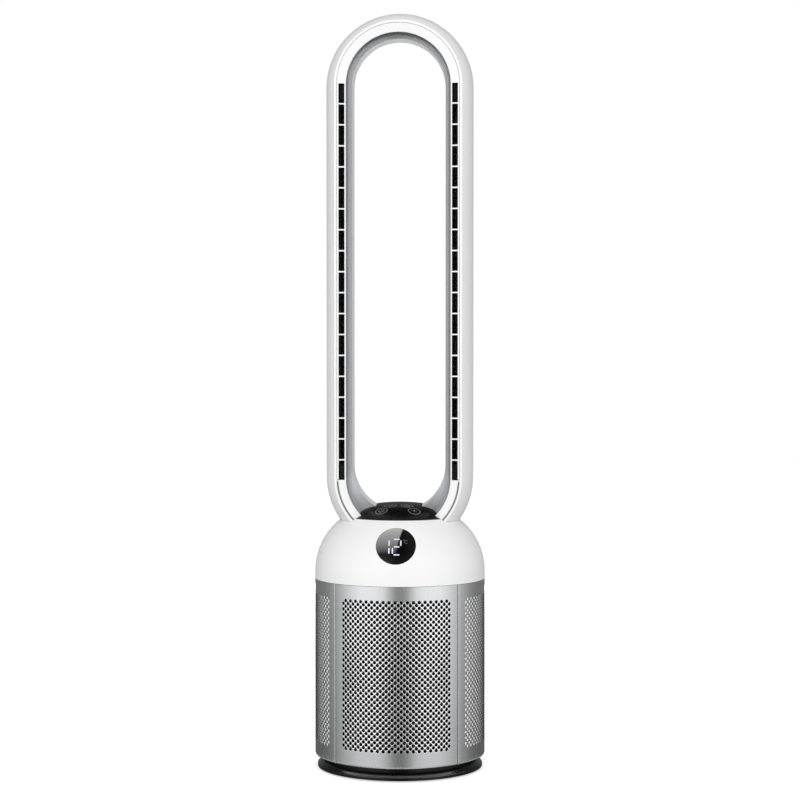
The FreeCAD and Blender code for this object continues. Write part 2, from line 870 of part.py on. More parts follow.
def make_loop_front_shell():
    """Front half of the outer wall, with the flat rim and the shelf for the outlet strip."""
    bulge = side_arc(loop_radius, rim_outer, loop_front)
    centre = loop_radius - bulge
    inner = bulge - loop_wall
    back = -parting_gap / 2
    shelf_back = loop_front + rim_depth
    corners = [
        side_point(inner, centre, shelf_back), V(shelf_inner, shelf_back, 0),
        grille_point(shelf_inner, grille_thickness), grille_point(rim_inner, grille_thickness),
        V(rim_inner, loop_front, 0), V(rim_outer, loop_front, 0),
    ]
    edges = [line(a, b) for a, b in zip(corners[:-1], corners[1:])]
    outer_end = side_point(bulge, centre, back)
    inner_end = side_point(inner, centre, back)
    edges.append(arc(corners[-1], side_point(bulge, centre, loop_front / 2), outer_end))
    edges.append(line(outer_end, inner_end))
    edges.append(arc(inner_end, side_point(inner, centre, loop_front / 2), corners[0]))
    return above_neck(swept_round(edges))


def trim_wires(extra):
    """Outlines of the silver band, which scoops inwards from its front edge, each wider by extra."""
    wires = []
    for i in range(trim_steps + 1):
        share = i / trim_steps
        scoop = share * share
        width = trim_front_inner + (trim_rear_inner - trim_front_inner) * scoop
        low = loop_low + trim_rear_rise * scoop
        wires.append(racetrack(width + extra, trim_front + trim_depth * share, low, loop_high))
    return wires


def waist_wires(extra):
    """Outlines of the white inner wall from the silver band to the back, each wider by extra."""
    low = loop_low + waist_rise
    return [
        trim_wires(extra)[-1],
        racetrack(waist_inner + extra, 0, low, loop_high),
        racetrack(back_inner + extra, loop_back, low, loop_high),
    ]


def lofted(wires):
    """Solid through outlines: straight-sided between two, smooth through more."""
    return Part.makeLoft(wires, True, len(wires) == 2)


def waist_solid(extra):
    """Solid that fills the opening from the silver band to the back, wider by extra."""
    front, middle, back = waist_wires(extra)
    return lofted([front, middle]).fuse(lofted([middle, back]))


def make_inner_trim():
    """Silver band that lines the front of the opening."""
    return lofted(trim_wires(trim_thickness)).cut(lofted(trim_wires(0)))


def rear_side(wall):
    """Half outline of the loop's back, from the parting plane to the middle, inset by a wall."""
    bulge = side_arc(loop_radius, rim_outer, loop_front)
    centre = loop_radius - bulge
    front = parting_gap / 2
    back = loop_back - wall
    turn = loop_back - rear_round
    start = side_point(bulge - wall, centre, front)
    middle = side_point(bulge - wall, centre, turn / 2)
    shoulder = side_point(bulge - wall, centre, turn)
    corner = V(rear_outer - rear_round, back, 0)
    lean = math.sqrt(0.5)
    round_mid = V(
        corner.x + (shoulder.x - corner.x) * lean, turn + (back - turn) * lean, 0)
    return [arc(start, middle, shoulder), arc(shoulder, round_mid, corner)], start, corner


def make_loop_rear_shell():
    """Back of the loop: outer wall, rounded back and the white inner wall up to the silver band."""
    outer_edges, outer_start, outer_end = rear_side(0)
    inner_edges, inner_start, inner_end = rear_side(loop_wall)
    wide = grille_inner - 8
    flat_outer = V(wide, loop_back, 0)
    flat_inner = V(wide, loop_back - loop_wall, 0)
    edges = outer_edges + [line(outer_end, flat_outer), line(flat_outer, flat_inner)]
    edges += [line(flat_inner, inner_end)] + inner_edges[::-1] + [line(inner_start, outer_start)]
    skin = swept_round(edges)
    front_cut = box(-200, 200, loop_front, trim_rear + seat_gap, 0, 2 * loop_high)
    lining = waist_solid(loop_wall).cut(front_cut)
    hole = waist_solid(0)
    return above_neck(skin.fuse(lining).cut(hole)).removeSplitter()


def grille_point(width, behind):
    """Point of the outlet strip's leaning face at a width, or behind it."""
    return V(width, grille_front + (grille_outer - width) * math.tan(grille_lean) + behind, 0)


def low_groove_ring():
    """Half ring round the foot of the loop, where the groove beside the strip is wider."""
    centre = V(0, loop_front - 1, loop_low)
    depth = grille_back - loop_front + 2
    outer = Part.makeCylinder(rim_inner, depth, centre, V(0, 1, 0))
    inner = Part.makeCylinder(grille_outer - low_groove, depth, centre, V(0, 1, 0))
    upper = box(-200, 200, loop_front - 2, loop_front + depth, loop_low, loop_high)
    return outer.cut(inner).cut(upper)


def make_outlet_grille():
    """White strip round the front, leaning inwards, with the outlet slots down both legs."""
    corners = [
        grille_point(grille_inner, 0), grille_point(grille_outer, 0),
        grille_point(grille_outer, grille_thickness), grille_point(grille_inner, grille_thickness),
    ]
    strip = swept_round([line(a, b) for a, b in zip(corners, corners[1:] + corners[:1])])
    strip = strip.cut(low_groove_ring())
    start = loop_low - slot_overrun
    pitch = (loop_straight + 2 * slot_overrun + slot_rib) / slot_count
    slots = []
    for i in range(slot_count):
        low = start + i * pitch
        slot = box(
            slot_inner, slot_inner + slot_width, loop_front - 1, grille_back + 1,
            low, low + pitch - slot_rib)
        slots += [slot, mirrored(slot)]
    return above_neck(strip.cut(Part.makeCompound(slots)))


def loop_plug(gap):
    """Solid form of the loop's lower end, grown by a gap, that the dome and the cap are cut by."""
    bulge = side_arc(loop_radius, rim_outer, loop_front)
    centre = loop_radius - bulge
    front = loop_front - gap
    back = loop_back + gap
    front_edge = V(rim_outer + gap, front, 0)
    back_edge = V(rim_outer + gap, back, 0)
    widest = V(loop_radius + gap, 0, 0)
    edges = [
        line(V(0, back, 0), V(0, front, 0)),
        line(V(0, front, 0), front_edge),
        arc(front_edge, widest, back_edge),
        line(back_edge, V(0, back, 0)),
    ]
    section = Part.Face(Part.Wire(edges))
    section.translate(V(0, 0, loop_low))
    bottom = section.revolve(V(0, 0, loop_low), V(0, 1, 0), 180)
    trim = trim_wires(-gap)
    waist = waist_wires(-gap)
    front_wire = racetrack(trim_front_inner - gap, front - 1, loop_low, loop_high)
    back_wire = racetrack(back_inner - gap, back + 1, loop_low + waist_rise, loop_high)
    hole = joined([
        lofted([front_wire, trim[0]]), lofted(trim), waist_solid(-gap), lofted([waist[-1], back_wire]),
    ])
    return bottom.cut(hole)


# Dome, display and touch cap

def dome_point(inset, angle):
    """Point of the dome's round, inset by a wall, at an angle above the level, in the XZ plane."""
    r = dome_arc_radius - inset
    return V(dome_arc_r + r * math.cos(angle), 0, dome_arc_z + r * math.sin(angle))


def rim_angle(inset, radius):
    """Angle on the dome's round where it reaches a radius."""
    return math.acos((radius - dome_arc_r) / (dome_arc_radius - inset))


def dome_wall_solid():
    """Plain dome wall from the seam to the rim."""
    outer_rim = rim_angle(0, dome_rim_radius)
    inner_rim = rim_angle(dome_wall, dome_rim_radius)
    inner_r = barrel_radius - dome_wall
    edges = [
        line(V(inner_r, 0, dome_bottom), V(barrel_radius, 0, dome_bottom)),
        line(V(barrel_radius, 0, dome_bottom), dome_point(0, 0)),
        arc(dome_point(0, 0), dome_point(0, outer_rim / 2), dome_point(0, outer_rim)),
        line(dome_point(0, outer_rim), dome_point(dome_wall, inner_rim)),
        arc(dome_point(dome_wall, inner_rim), dome_point(dome_wall, inner_rim / 2), dome_point(dome_wall, 0)),
        line(dome_point(dome_wall, 0), V(inner_r, 0, dome_bottom)),
    ]
    return turned(edges)


def display_axis():
    """Centre of the display on the dome and its outward direction."""
    outward = V(0, -math.cos(display_angle), math.sin(display_angle))
    centre = V(0, -dome_arc_r, dome_arc_z) + outward * dome_arc_radius
    return centre, outward


def display_plug(radius):
    """Cylinder through the dome on the display's axis."""
    centre, outward = display_axis()
    depth = 3 * dome_wall
    return Part.makeCylinder(radius, 2 * depth, centre - outward * depth, outward)


def make_dome_shell(plug):
    """White dome with a ledge for the cap, a round display hole and the way in for the loop."""
    ledge_top = cap_height(dome_rim_radius) - cap_wall - seat_gap
    ledge_low = ledge_top - dome_ledge_height
    ledge = ring(dome_rim_radius - dome_ledge, dome_rim_radius + dome_wall, ledge_low, ledge_top)
    solid = turned([
        line(V(0, 0, dome_bottom), V(barrel_radius, 0, dome_bottom)),
        line(V(barrel_radius, 0, dome_bottom), dome_point(0, 0)),
        arc(dome_point(0, 0), dome_point(0, math.pi / 4), dome_point(0, math.pi / 2)),
        line(dome_point(0, math.pi / 2), V(0, 0, dome_arc_z + dome_arc_radius)),
        line(V(0, 0, dome_arc_z + dome_arc_radius), V(0, 0, dome_bottom)),
    ])
    dome = dome_wall_solid().fuse(ledge.common(solid)).removeSplitter()
    dome = dome.cut(display_plug(display_radius + seat_gap))
    return dome.cut(plug)


def make_display_lens():
    """Dark round window, flush with the dome."""
    return dome_wall_solid().common(display_plug(display_radius))


def make_display_board():
    """Round display module behind the window."""
    centre, outward = display_axis()
    inner = dome_arc_radius - dome_wall
    face = math.sqrt(inner * inner - display_module_radius * display_module_radius) - sliding_gap
    middle = V(0, -dome_arc_r, dome_arc_z)
    low = middle + outward * (face - display_module_depth)
    return Part.makeCylinder(display_module_radius, display_module_depth, low, outward)


def cap_crown_z():
    """Height of the centre of the cap's crown arc, which lies on the axis."""
    rim_z = dome_arc_z + dome_arc_radius * math.sin(rim_angle(0, dome_rim_radius))
    return rim_z + cap_rise - cap_crown_radius


def cap_shoulder():
    """Radius and centre of the arc that leaves the crown without a break and meets the dome's rim."""
    lean = math.asin(cap_crown_reach / cap_crown_radius)
    below = cap_crown_radius - cap_rise
    reach = dome_rim_radius ** 2 + below ** 2 - cap_crown_radius ** 2
    slack = dome_rim_radius * math.sin(lean) + below * math.cos(lean) - cap_crown_radius
    shift = reach / (2 * slack)
    centre = V(shift * math.sin(lean), 0, cap_crown_z() + shift * math.cos(lean))
    return cap_crown_radius - shift, centre


def cap_height(radius):
    """Top of the cap at a radius."""
    if radius <= cap_crown_reach:
        return cap_crown_z() + math.sqrt(cap_crown_radius ** 2 - radius ** 2)
    arc_radius, centre = cap_shoulder()
    return centre.z + math.sqrt(arc_radius ** 2 - (radius - centre.x) ** 2)


def cap_point(radius, drop):
    """Point of the cap's section at a radius, below its top by drop."""
    return V(radius, 0, cap_height(radius) - drop)


def make_control_cap(plug):
    """Black touch cap that closes the dome between the legs of the loop."""
    edge = dome_rim_radius - cap_gap
    radii = [0, cap_crown_reach / 2, cap_crown_reach, (cap_crown_reach + edge) / 2, edge]
    top = [cap_point(radius, 0) for radius in radii]
    under = [cap_point(radius, cap_wall) for radius in radii]
    edges = [
        line(under[0], top[0]),
        arc(top[0], top[1], top[2]),
        arc(top[2], top[3], top[4]),
        line(top[4], under[4]),
        arc(under[4], under[3], under[2]),
        arc(under[2], under[1], under[0]),
    ]
    return turned(edges).cut(plug)


def touch_board_place():
    """Placement of the touch board under the front of the cap, along the cap's slope."""
    arc_radius, centre = cap_shoulder()
    tilt = math.degrees(math.asin((touch_board_centre - centre.x) / arc_radius))
    z = cap_height(touch_board_centre) - cap_wall - touch_board_drop
    return FreeCAD.Placement(V(0, -touch_board_centre, z), FreeCAD.Rotation(V(1, 0, 0), tilt))


def make_touch_board():
    """Sensor board under the touch cap."""
    x_half = touch_board_width / 2
    y_half = touch_board_length / 2
    board = box(-x_half, x_half, -y_half, y_half, -board_thickness, 0)
    board.Placement = touch_board_place()
    return board


def make_touch_springs():
    """Contact springs between the board and the cap, drawn as short posts."""
    place = touch_board_place()
    lean = math.cos(place.Rotation.Angle)
    shapes = []
    for side in (-1, 1):
        for x, y in ((touch_key_side, 0), (touch_key_side / 2, touch_key_row)):
            base = place.multVec(V(side * x, y, 0))
            radius = math.hypot(base.x, base.y)
            room = (cap_height(radius) - cap_wall - base.z) * lean
            height = room - 2 * sliding_gap
            post = Part.makeCylinder(touch_spring_radius, height, V(side * x, y, 0))
            post.Placement = place
            shapes.append(post)
    return Part.makeCompound(shapes)


# Heaters in the legs

def heater_span():
    """Lower and upper end of the heater frames."""
    return loop_low + heater_margin, loop_high - heater_margin


def make_heater_frame():
    """Black channel of the right leg that carries the heater and guides the air to the slots."""
    low, high = heater_span()
    front = heater_front
    body_front = front + heater_throat_depth
    body_back = body_front + heater_body_depth
    t = heater_wall
    slot_outer = slot_inner + slot_width
    throat_low = loop_low - slot_overrun - 2 * t
    throat_high = loop_high + slot_overrun + 2 * t
    outer = box(slot_inner, slot_outer + t, front, body_front + t, throat_low, throat_high)
    outer = outer.fuse(box(heater_body_inner, heater_body_outer, body_front, body_back, low, high))
    hole = box(slot_inner + t, slot_outer, front - 1, body_front, throat_low + t, throat_high - t)
    hole = hole.fuse(box(slot_inner + t, slot_outer, front - 1, body_front + 2 * t, low + t, high - t))
    hole = hole.fuse(box(
        heater_body_inner + t, heater_body_outer - t, body_front + t, body_back + 1, low + t, high - t))
    return outer.cut(hole).removeSplitter()


def make_heater_core():
    """Ceramic heater bar of the right leg with its cross fins."""
    low, high = heater_span()
    front = heater_front + heater_throat_depth + heater_wall + seat_gap
    back = front + heater_body_depth - 3 * heater_wall
    t = heater_wall + seat_gap
    left = heater_body_inner + t
    right = heater_body_outer - t
    middle = (left + right) / 2
    z_low = low + t
    z_high = high - t
    bar = box(middle - heater_bar / 2, middle + heater_bar / 2, front, back, z_low, z_high)
    count = int((z_high - z_low - heater_fin) / heater_fin_pitch) + 1
    pitch = (z_high - z_low - heater_fin) / (count - 1)
    fins = []
    for i in range(count):
        z = z_low + i * pitch
        fins.append(box(left, right, front, back, z, z + heater_fin))
    return joined([bar] + fins)


def make_thermal_cutouts():
    """Thermal switches on the lower ends of the heater frames."""
    low = heater_span()[0]
    x = (heater_body_inner + heater_body_outer) / 2
    y = heater_front + heater_throat_depth + heater_body_depth / 2
    right = disc(cutout_radius, low - cutout_height, low, x, y)
    return Part.makeCompound([right, mirrored(right)])


def main():
    """Build every piece and write it to its own file."""
    os.makedirs("parts", exist_ok=True)
    plug = loop_plug(shell_gap)
    front_panel = perforated_panel()
    heater_frame = make_heater_frame()
    heater_core = make_heater_core()
    pieces = {
        "foot_base": make_foot_base(),
        "foot_pad": make_foot_pad(),
        "ballast_plate": make_ballast_plate(),
        "ballast_screws": make_ballast_screws(),
        "swivel_bearing": make_swivel_bearing(),
        "sun_gear": make_sun_gear(),
        "gear_screws": make_gear_screws(),
        "swivel_pinion": make_swivel_pinion(),
        "swivel_motor": make_swivel_motor(),
        "swivel_motor_screws": make_swivel_motor_screws(),
        "chassis_tray": make_chassis_tray(),
        "cord_gland": make_cord_gland(),
        "power_board": make_power_board(),
        "power_components": make_power_components(),
        "front_panel": front_panel,
        "right_panel": spun(front_panel, 90),
        "left_panel": spun(front_panel, -90),
        "rear_panel": make_rear_panel(front_panel),
        "panel_magnets": make_panel_magnets(),
        "inlet_cage": make_inlet_cage(),
        "dust_filter": make_dust_filter(),
        "fan_duct": make_fan_duct(),
        "impeller": make_impeller(),
        "rotor_shaft": make_rotor_shaft(),
        "impeller_nut": make_impeller_nut(),
        "motor_pod": make_motor_pod(),
        "fan_bearings": make_fan_bearings(),
        "motor_stator": make_motor_stator(),
        "air_manifold": make_air_manifold(),
        "loop_gasket": make_loop_gasket(),
        "dome_shell": make_dome_shell(plug),
        "display_lens": make_display_lens(),
        "display_board": make_display_board(),
        "control_cap": make_control_cap(plug),
        "touch_board": make_touch_board(),
        "touch_springs": make_touch_springs(),
        "loop_front_shell": make_loop_front_shell(),
        "loop_rear_shell": make_loop_rear_shell(),
        "outlet_grille": make_outlet_grille(),
        "inner_trim": make_inner_trim(),
        "heater_frame_right": heater_frame,
        "heater_frame_left": mirrored(heater_frame),
        "heater_core_right": heater_core,
        "heater_core_left": mirrored(heater_core),
        "thermal_cutouts": make_thermal_cutouts(),
    }
    for name, shape in pieces.items():
        shape.exportStep("parts/" + name + ".step")
        print(name, len(shape.Solids), shape.isValid(), round(shape.Volume))


main()
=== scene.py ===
"""Bladeless tower fan heater: finishes, perforated panels, lit display and printed keys.

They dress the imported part. Sizes are in millimetres, apart from the camera's places and the studio.
"""

import json
import math

import bpy
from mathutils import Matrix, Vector, geometry
from mathutils.bvhtree import BVHTree


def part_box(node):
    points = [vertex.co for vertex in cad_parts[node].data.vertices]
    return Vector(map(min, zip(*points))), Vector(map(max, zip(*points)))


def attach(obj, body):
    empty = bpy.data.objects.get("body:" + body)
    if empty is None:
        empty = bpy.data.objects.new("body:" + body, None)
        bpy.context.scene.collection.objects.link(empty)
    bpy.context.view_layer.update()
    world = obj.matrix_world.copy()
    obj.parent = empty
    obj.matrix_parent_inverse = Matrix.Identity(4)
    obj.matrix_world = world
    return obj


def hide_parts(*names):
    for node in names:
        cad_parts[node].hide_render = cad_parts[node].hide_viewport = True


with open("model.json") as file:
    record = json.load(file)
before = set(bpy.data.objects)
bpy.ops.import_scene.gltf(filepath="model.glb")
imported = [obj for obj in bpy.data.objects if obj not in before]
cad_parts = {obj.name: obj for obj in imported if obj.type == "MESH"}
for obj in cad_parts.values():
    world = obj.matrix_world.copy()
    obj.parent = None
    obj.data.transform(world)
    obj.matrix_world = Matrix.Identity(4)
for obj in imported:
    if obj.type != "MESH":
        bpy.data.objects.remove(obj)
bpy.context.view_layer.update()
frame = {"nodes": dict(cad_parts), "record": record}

MM = 0.001
WHITE = (1.0, 1.0, 1.0, 1.0)

# Camera: places in metres, lens and sensor in millimetres
CAMERA_PLACE = (0.138, -2.544, 0.5229)
CAMERA_TARGET = (0.0, 0.0, 0.4539)
CAMERA_LENS = 92.66
CAMERA_SENSOR = 36.0
CAMERA_SIDE_ANGLE = math.radians(3.1)

# Barrel panels
PANEL_SHEET = 0.6
PANEL_SEAM = 0.7
EDGE_BEND = 1.1
EDGE_FLANGE = 2.0
LIP_BEND = 3.0
FLANGE_END = 6.2
BEND_STEPS = 3
LIP_STEPS = 4
HOLE_RADIUS = 2.12
HOLE_SIDES = 14
HOLE_ROWS = 53
HOLE_ROW_PITCH = 3.43
HOLE_LONG_ROW = 20
HOLE_REACH = math.radians(37.3)
HOLE_FIRST_HEIGHT = 36.7
HOLE_LAND = 0.6
RIM_LEAN = math.radians(13)
RIM_BAND = 0.5
GRID_STEP = 3.4
NOTCH_HALF_WIDTH = 7.4
NOTCH_CENTRE = 24.7
NOTCH_TURN_STEP = 0.12
NOTCH_SIDE_STEP = 0.9
LINER_DEPTH = 0.7
LINER_THICKNESS = 0.4
LINER_MARGIN = 4.0
LINER_COLUMNS = 30

# Distances from a hole's centre: cut away, on the rim and clear of it, each with room for rounding
CUT_AWAY = HOLE_RADIUS * 0.97
ON_RIM = HOLE_RADIUS * 1.01
CLEAR_OF_RIM = HOLE_RADIUS + RIM_BAND * 0.9
SLACK = 1e-4
SAME_POINT = 1e-5

# Painted shade: grey strips in the groove of the loop's lower bends, standing in for its shadow line;
# angles from straight down
LOOP_RADIUS = 90.7
LOOP_STRAIGHT = 479.0
GROOVE_SHADE_RADII = (72.9, 74.9)
GROOVE_SHADE_DEPTH = 1.2
GROOVE_SHADE_THICKNESS = 1.5
GROOVE_SHADE_SPAN = (math.radians(28), math.radians(87))
GROOVE_SHADE_COLUMNS = 32

# Display, on the face of the window
DISPLAY_TILT = math.radians(30.0)
DIGIT_HEIGHT = 20.0
DIGIT_WIDTH = 9.8
DIGIT_BAR = 1.5
DIGIT_BAR_GAP = 1.2
DIGIT_BAR_TIP = 0.05
DIGIT_BAR_STEPS = 6
DIGIT_DROP = -2.4
ONE_COLUMN = -8.0
TWO_CENTRE = 1.1
DEGREE_PLACE = (9.4, 6.8)
DEGREE_RADIUS = 0.8
DEGREE_LINE = 0.45
CELSIUS_PLACE = (12.4, 4.5)
CELSIUS_RADIUS = 2.0
CELSIUS_LINE = 0.7
CELSIUS_ARC = (math.radians(45), math.radians(315))
UNIT_STEPS = 16

# Touch keys
KEY_RADIUS = 7.2
KEY_LINE = 0.7
KEY_FRONT = (20.0, -48.3)
KEY_REAR = (10.3, -31.0)
POWER_RADIUS = 3.2
POWER_ARC = (math.radians(125), math.radians(415))
POWER_STROKE = (0.6, 2.2, 3.8)
PLUS_STROKE = (-3.2, 0.0, 3.2)
SWING_RADIUS = 3.4
SWING_ARC = (math.radians(200), math.radians(340))
SWING_TICK = (-1.6, 0.0, 1.6)
SWING_TICK_RISE = 1.0
TIMER_RADIUS = 3.4
TIMER_HANDS = ((0.0, 2.2), (0.0, 0.0), (1.6, 0.0))
INK_THICKNESS = 0.06
INK_SUNK = 0.02
WINDOW_STAND_OFF = 50.0
CAP_STAND_OFF = 1000.0

# Patterns of the finishes
TONE_CLOUD = 45.0
FLAKE_SIZE = 0.5
LACQUER_PEEL = 2.5
LACQUER_PEEL_DEPTH = 0.006
FILTER_THREAD = 1.2
FILTER_THREAD_DEPTH = 0.2
FILTER_RADIUS = 91.9
SEGMENT_CLOUD = 4.0
FLOOR_CLOUD = 60.0

# Noise runs mostly between these two; gloss and light vary by these shares either way
NOISE_LOW = 0.3
NOISE_HIGH = 0.7
GLOSS_SPREAD = 0.15
SEGMENT_SPREAD = 0.1

# Sockets of a colour mix
MIX_SHARE = 0
MIX_DARK = 6
MIX_LIGHT = 7
MIX_TONE = 2


def linear(colour):
    """Linear RGBA from an sRGB hex colour."""
    parts = [int(colour[i:i + 2], 16) / 255 for i in (1, 3, 5)]
    return [p / 12.92 if p <= 0.04045 else ((p + 0.055) / 1.055) ** 2.4 for p in parts] + [1.0]


def add(tree, kind, inputs, **settings):
    """Node with its settings; each input takes a value or a link from another node's output."""
    node = tree.nodes.new("ShaderNode" + kind)
    for name, value in settings.items():
        setattr(node, name, value)
    for name, value in inputs.items():
        if isinstance(value, bpy.types.NodeSocket):
            tree.links.new(value, node.inputs[name])
        else:
            node.inputs[name].default_value = value
    return node


def new_material(name):
    """Empty node material and its tree."""
    material = bpy.data.materials.new(name)
    material.use_nodes = True
    material.node_tree.nodes.clear()
    return material, material.node_tree


def plastic(name, dark, light, roughness, grain, depth, ior=1.53):
    """Moulded plastic: its tone wanders a little over centimetres, and its grain breaks the gloss."""
    material, tree = new_material(name)
    place = add(tree, "TexCoord", {}).outputs["Object"]
    cloud = add(tree, "TexNoise", {"Vector": place, "Scale": 1 / (TONE_CLOUD * MM)}).outputs["Fac"]
    fine = add(tree, "TexNoise", {"Vector": place, "Scale": 1 / (grain * MM)}).outputs["Fac"]
    tone = add(tree, "Mix", {
        MIX_SHARE: cloud, MIX_DARK: linear(dark), MIX_LIGHT: linear(light)}, data_type="RGBA")
    gloss = add(tree, "MapRange", {
        "Value": fine, "From Min": NOISE_LOW, "From Max": NOISE_HIGH,
        "To Min": roughness * (1 - GLOSS_SPREAD), "To Max": roughness * (1 + GLOSS_SPREAD)})
    relief = add(tree, "Bump", {"Height": fine, "Distance": depth * MM})
    shader = add(tree, "BsdfPrincipled", {
        "Base Color": tone.outputs[MIX_TONE],
        "Roughness": gloss.outputs["Result"],
        "Normal": relief.outputs["Normal"],
        "IOR": ior,
    })
    add(tree, "OutputMaterial", {"Surface": shader.outputs["BSDF"]})
    return material


def metal(name, dark, light, roughness, mark, stretch, depth):
    """Worked metal: fine marks along one direction change its roughness and catch the light."""
    material, tree = new_material(name)
    place = add(tree, "TexCoord", {}).outputs["Object"]
    cloud = add(tree, "TexNoise", {"Vector": place, "Scale": 1 / (TONE_CLOUD * MM)}).outputs["Fac"]
    drawn = add(tree, "Mapping", {"Vector": place, "Scale": [1 / (mark * MM * s) for s in stretch]})
    marks = add(tree, "TexNoise", {
        "Vector": drawn.outputs["Vector"], "Scale": 1.0, "Detail": 3.0}).outputs["Fac"]
    tone = add(tree, "Mix", {
        MIX_SHARE: cloud, MIX_DARK: linear(dark), MIX_LIGHT: linear(light)}, data_type="RGBA")
    gloss = add(tree, "MapRange", {
        "Value": marks, "From Min": NOISE_LOW, "From Max": NOISE_HIGH,
        "To Min": roughness * (1 - GLOSS_SPREAD), "To Max": roughness * (1 + GLOSS_SPREAD)})
    relief = add(tree, "Bump", {"Height": marks, "Distance": depth * MM})
    shader = add(tree, "BsdfPrincipled", {
        "Base Color": tone.outputs[MIX_TONE],
        "Metallic": 1.0,
        "Roughness": gloss.outputs["Result"],
        "Normal": relief.outputs["Normal"],
    })
    add(tree, "OutputMaterial", {"Surface": shader.outputs["BSDF"]})
    return material


def silver_lacquered_abs():
    """Satin silver lacquer: metal flake under a dull clear, so half of it shines and half spreads light."""
    material, tree = new_material("silver_lacquered_abs")
    place = add(tree, "TexCoord", {}).outputs["Object"]
    flake = add(tree, "TexNoise", {
        "Vector": place, "Scale": 1 / (FLAKE_SIZE * MM), "Detail": 0.0}).outputs["Fac"]
    peel = add(tree, "TexNoise", {"Vector": place, "Scale": 1 / (LACQUER_PEEL * MM)}).outputs["Fac"]
    tone = add(tree, "Mix", {
        MIX_SHARE: flake, MIX_DARK: linear("#c0c2c4"), MIX_LIGHT: linear("#d2d3d5")}, data_type="RGBA")
    gloss = add(tree, "MapRange", {"Value": flake, "To Min": 0.27, "To Max": 0.39})
    relief = add(tree, "Bump", {"Height": peel, "Distance": LACQUER_PEEL_DEPTH * MM})
    shader = add(tree, "BsdfPrincipled", {
        "Base Color": tone.outputs[MIX_TONE],
        "Metallic": 0.92,
        "Roughness": gloss.outputs["Result"],
        "Normal": relief.outputs["Normal"],
    })
    add(tree, "OutputMaterial", {"Surface": shader.outputs["BSDF"]})
    return material


def woven_nylon_filter():
    """Black nylon filter cloth: warp and weft threads, drawn coarser than life so that they show."""
    material, tree = new_material("woven_nylon_filter")
    place = add(tree, "TexCoord", {}).outputs["Object"]
    axes = add(tree, "SeparateXYZ", {"Vector": place}).outputs
    turn = add(tree, "Math", {0: axes["X"], 1: axes["Y"]}, operation="ARCTAN2").outputs[0]
    wave = math.tau / FILTER_THREAD
    around = add(tree, "Math", {0: turn, 1: FILTER_RADIUS * wave}, operation="MULTIPLY").outputs[0]
    along = add(tree, "Math", {0: axes["Z"], 1: wave / MM}, operation="MULTIPLY").outputs[0]
    warp = add(tree, "Math", {0: around}, operation="SINE").outputs[0]
    weft = add(tree, "Math", {0: along}, operation="SINE").outputs[0]
    weave = add(tree, "Math", {0: warp, 1: weft}, operation="MULTIPLY").outputs[0]
    height = add(tree, "MapRange", {"Value": weave, "From Min": -1.0}).outputs["Result"]
    tone = add(tree, "Mix", {
        MIX_SHARE: height, MIX_DARK: linear("#020202"), MIX_LIGHT: linear("#070707")}, data_type="RGBA")
    relief = add(tree, "Bump", {"Height": height, "Distance": FILTER_THREAD_DEPTH * MM})
    shader = add(tree, "BsdfPrincipled", {
        "Base Color": tone.outputs[MIX_TONE], "Roughness": 0.75, "Normal": relief.outputs["Normal"]})
    add(tree, "OutputMaterial", {"Surface": shader.outputs["BSDF"]})
    return material


def lit_segment(name, colour, strength):
    """Diffused light of a segment display, a little uneven along each bar."""
    material, tree = new_material(name)
    place = add(tree, "TexCoord", {}).outputs["Object"]
    cloud = add(tree, "TexNoise", {"Vector": place, "Scale": 1 / (SEGMENT_CLOUD * MM)}).outputs["Fac"]
    glow = add(tree, "MapRange", {
        "Value": cloud, "From Min": NOISE_LOW, "From Max": NOISE_HIGH,
        "To Min": strength * (1 - SEGMENT_SPREAD), "To Max": strength * (1 + SEGMENT_SPREAD)})
    shader = add(tree, "BsdfPrincipled", {
        "Base Color": linear("#101012"), "Roughness": 0.3,
        "Emission Color": linear(colour), "Emission Strength": glow.outputs["Result"]})
    add(tree, "OutputMaterial", {"Surface": shader.outputs["BSDF"]})
    return material


# Moulded white ABS: clean semi-gloss, faint orange peel from the polished tool.
moulded_white_abs = plastic(
    "moulded_white_abs", "#f0f0f0", "#f3f3f3", roughness=0.34, grain=1.6, depth=0.004)
# Brushed stainless sheet: upright brush lines, drawn coarser than life so that they just show.
brushed_stainless = metal(
    "brushed_stainless", "#d3d4d5", "#dbdcdd", roughness=0.25, mark=0.5, stretch=(1, 1, 90), depth=0.0003)
# Painted highlight: a lighter copy of the brushed stainless, laid on the strips of sheet between the holes
# of the front and rear panels so that they read brighter.
painted_highlight_stainless = metal(
    "painted_highlight_stainless", "#f6f6f7", "#fcfcfd", roughness=0.25, mark=0.5, stretch=(1, 1, 90), depth=0.0003)
# Polished black acrylic: deep and mirror-like, only hairline haze.
polished_black_acrylic = plastic(
    "polished_black_acrylic", "#050506", "#08080a", roughness=0.07, grain=0.7, depth=0.0002, ior=1.49)
# Hazed black acrylic: a touch surface dulled against finger marks, so it mirrors only broad shapes.
hazed_black_acrylic = plastic(
    "hazed_black_acrylic", "#050506", "#08080a", roughness=0.26, grain=0.7, depth=0.0005, ior=1.49)
# Satin black ABS: the fine tool texture is nearly polished out, so only edges catch a light.
satin_black_abs = plastic(
    "satin_black_abs", "#030303", "#050505", roughness=0.2, grain=0.7, depth=0.003, ior=1.4)
# Moulded grey polypropylene: dull, slightly waxy inside parts.
moulded_grey_polypropylene = plastic(
    "moulded_grey_polypropylene", "#77797b", "#828486", roughness=0.48, grain=1.2, depth=0.01, ior=1.49)
# Moulded black rubber: matte, bloomed skin.
moulded_black_rubber = plastic(
    "moulded_black_rubber", "#101010", "#181818", roughness=0.82, grain=0.9, depth=0.03)
# Painted shade: a dull grey strip in the groove of the loop, drawn to stand in for the shadow line there.
painted_groove_shade = plastic(
    "painted_groove_shade", "#7a7b7c", "#848586", roughness=0.6, grain=0.6, depth=0.006, ior=1.41)
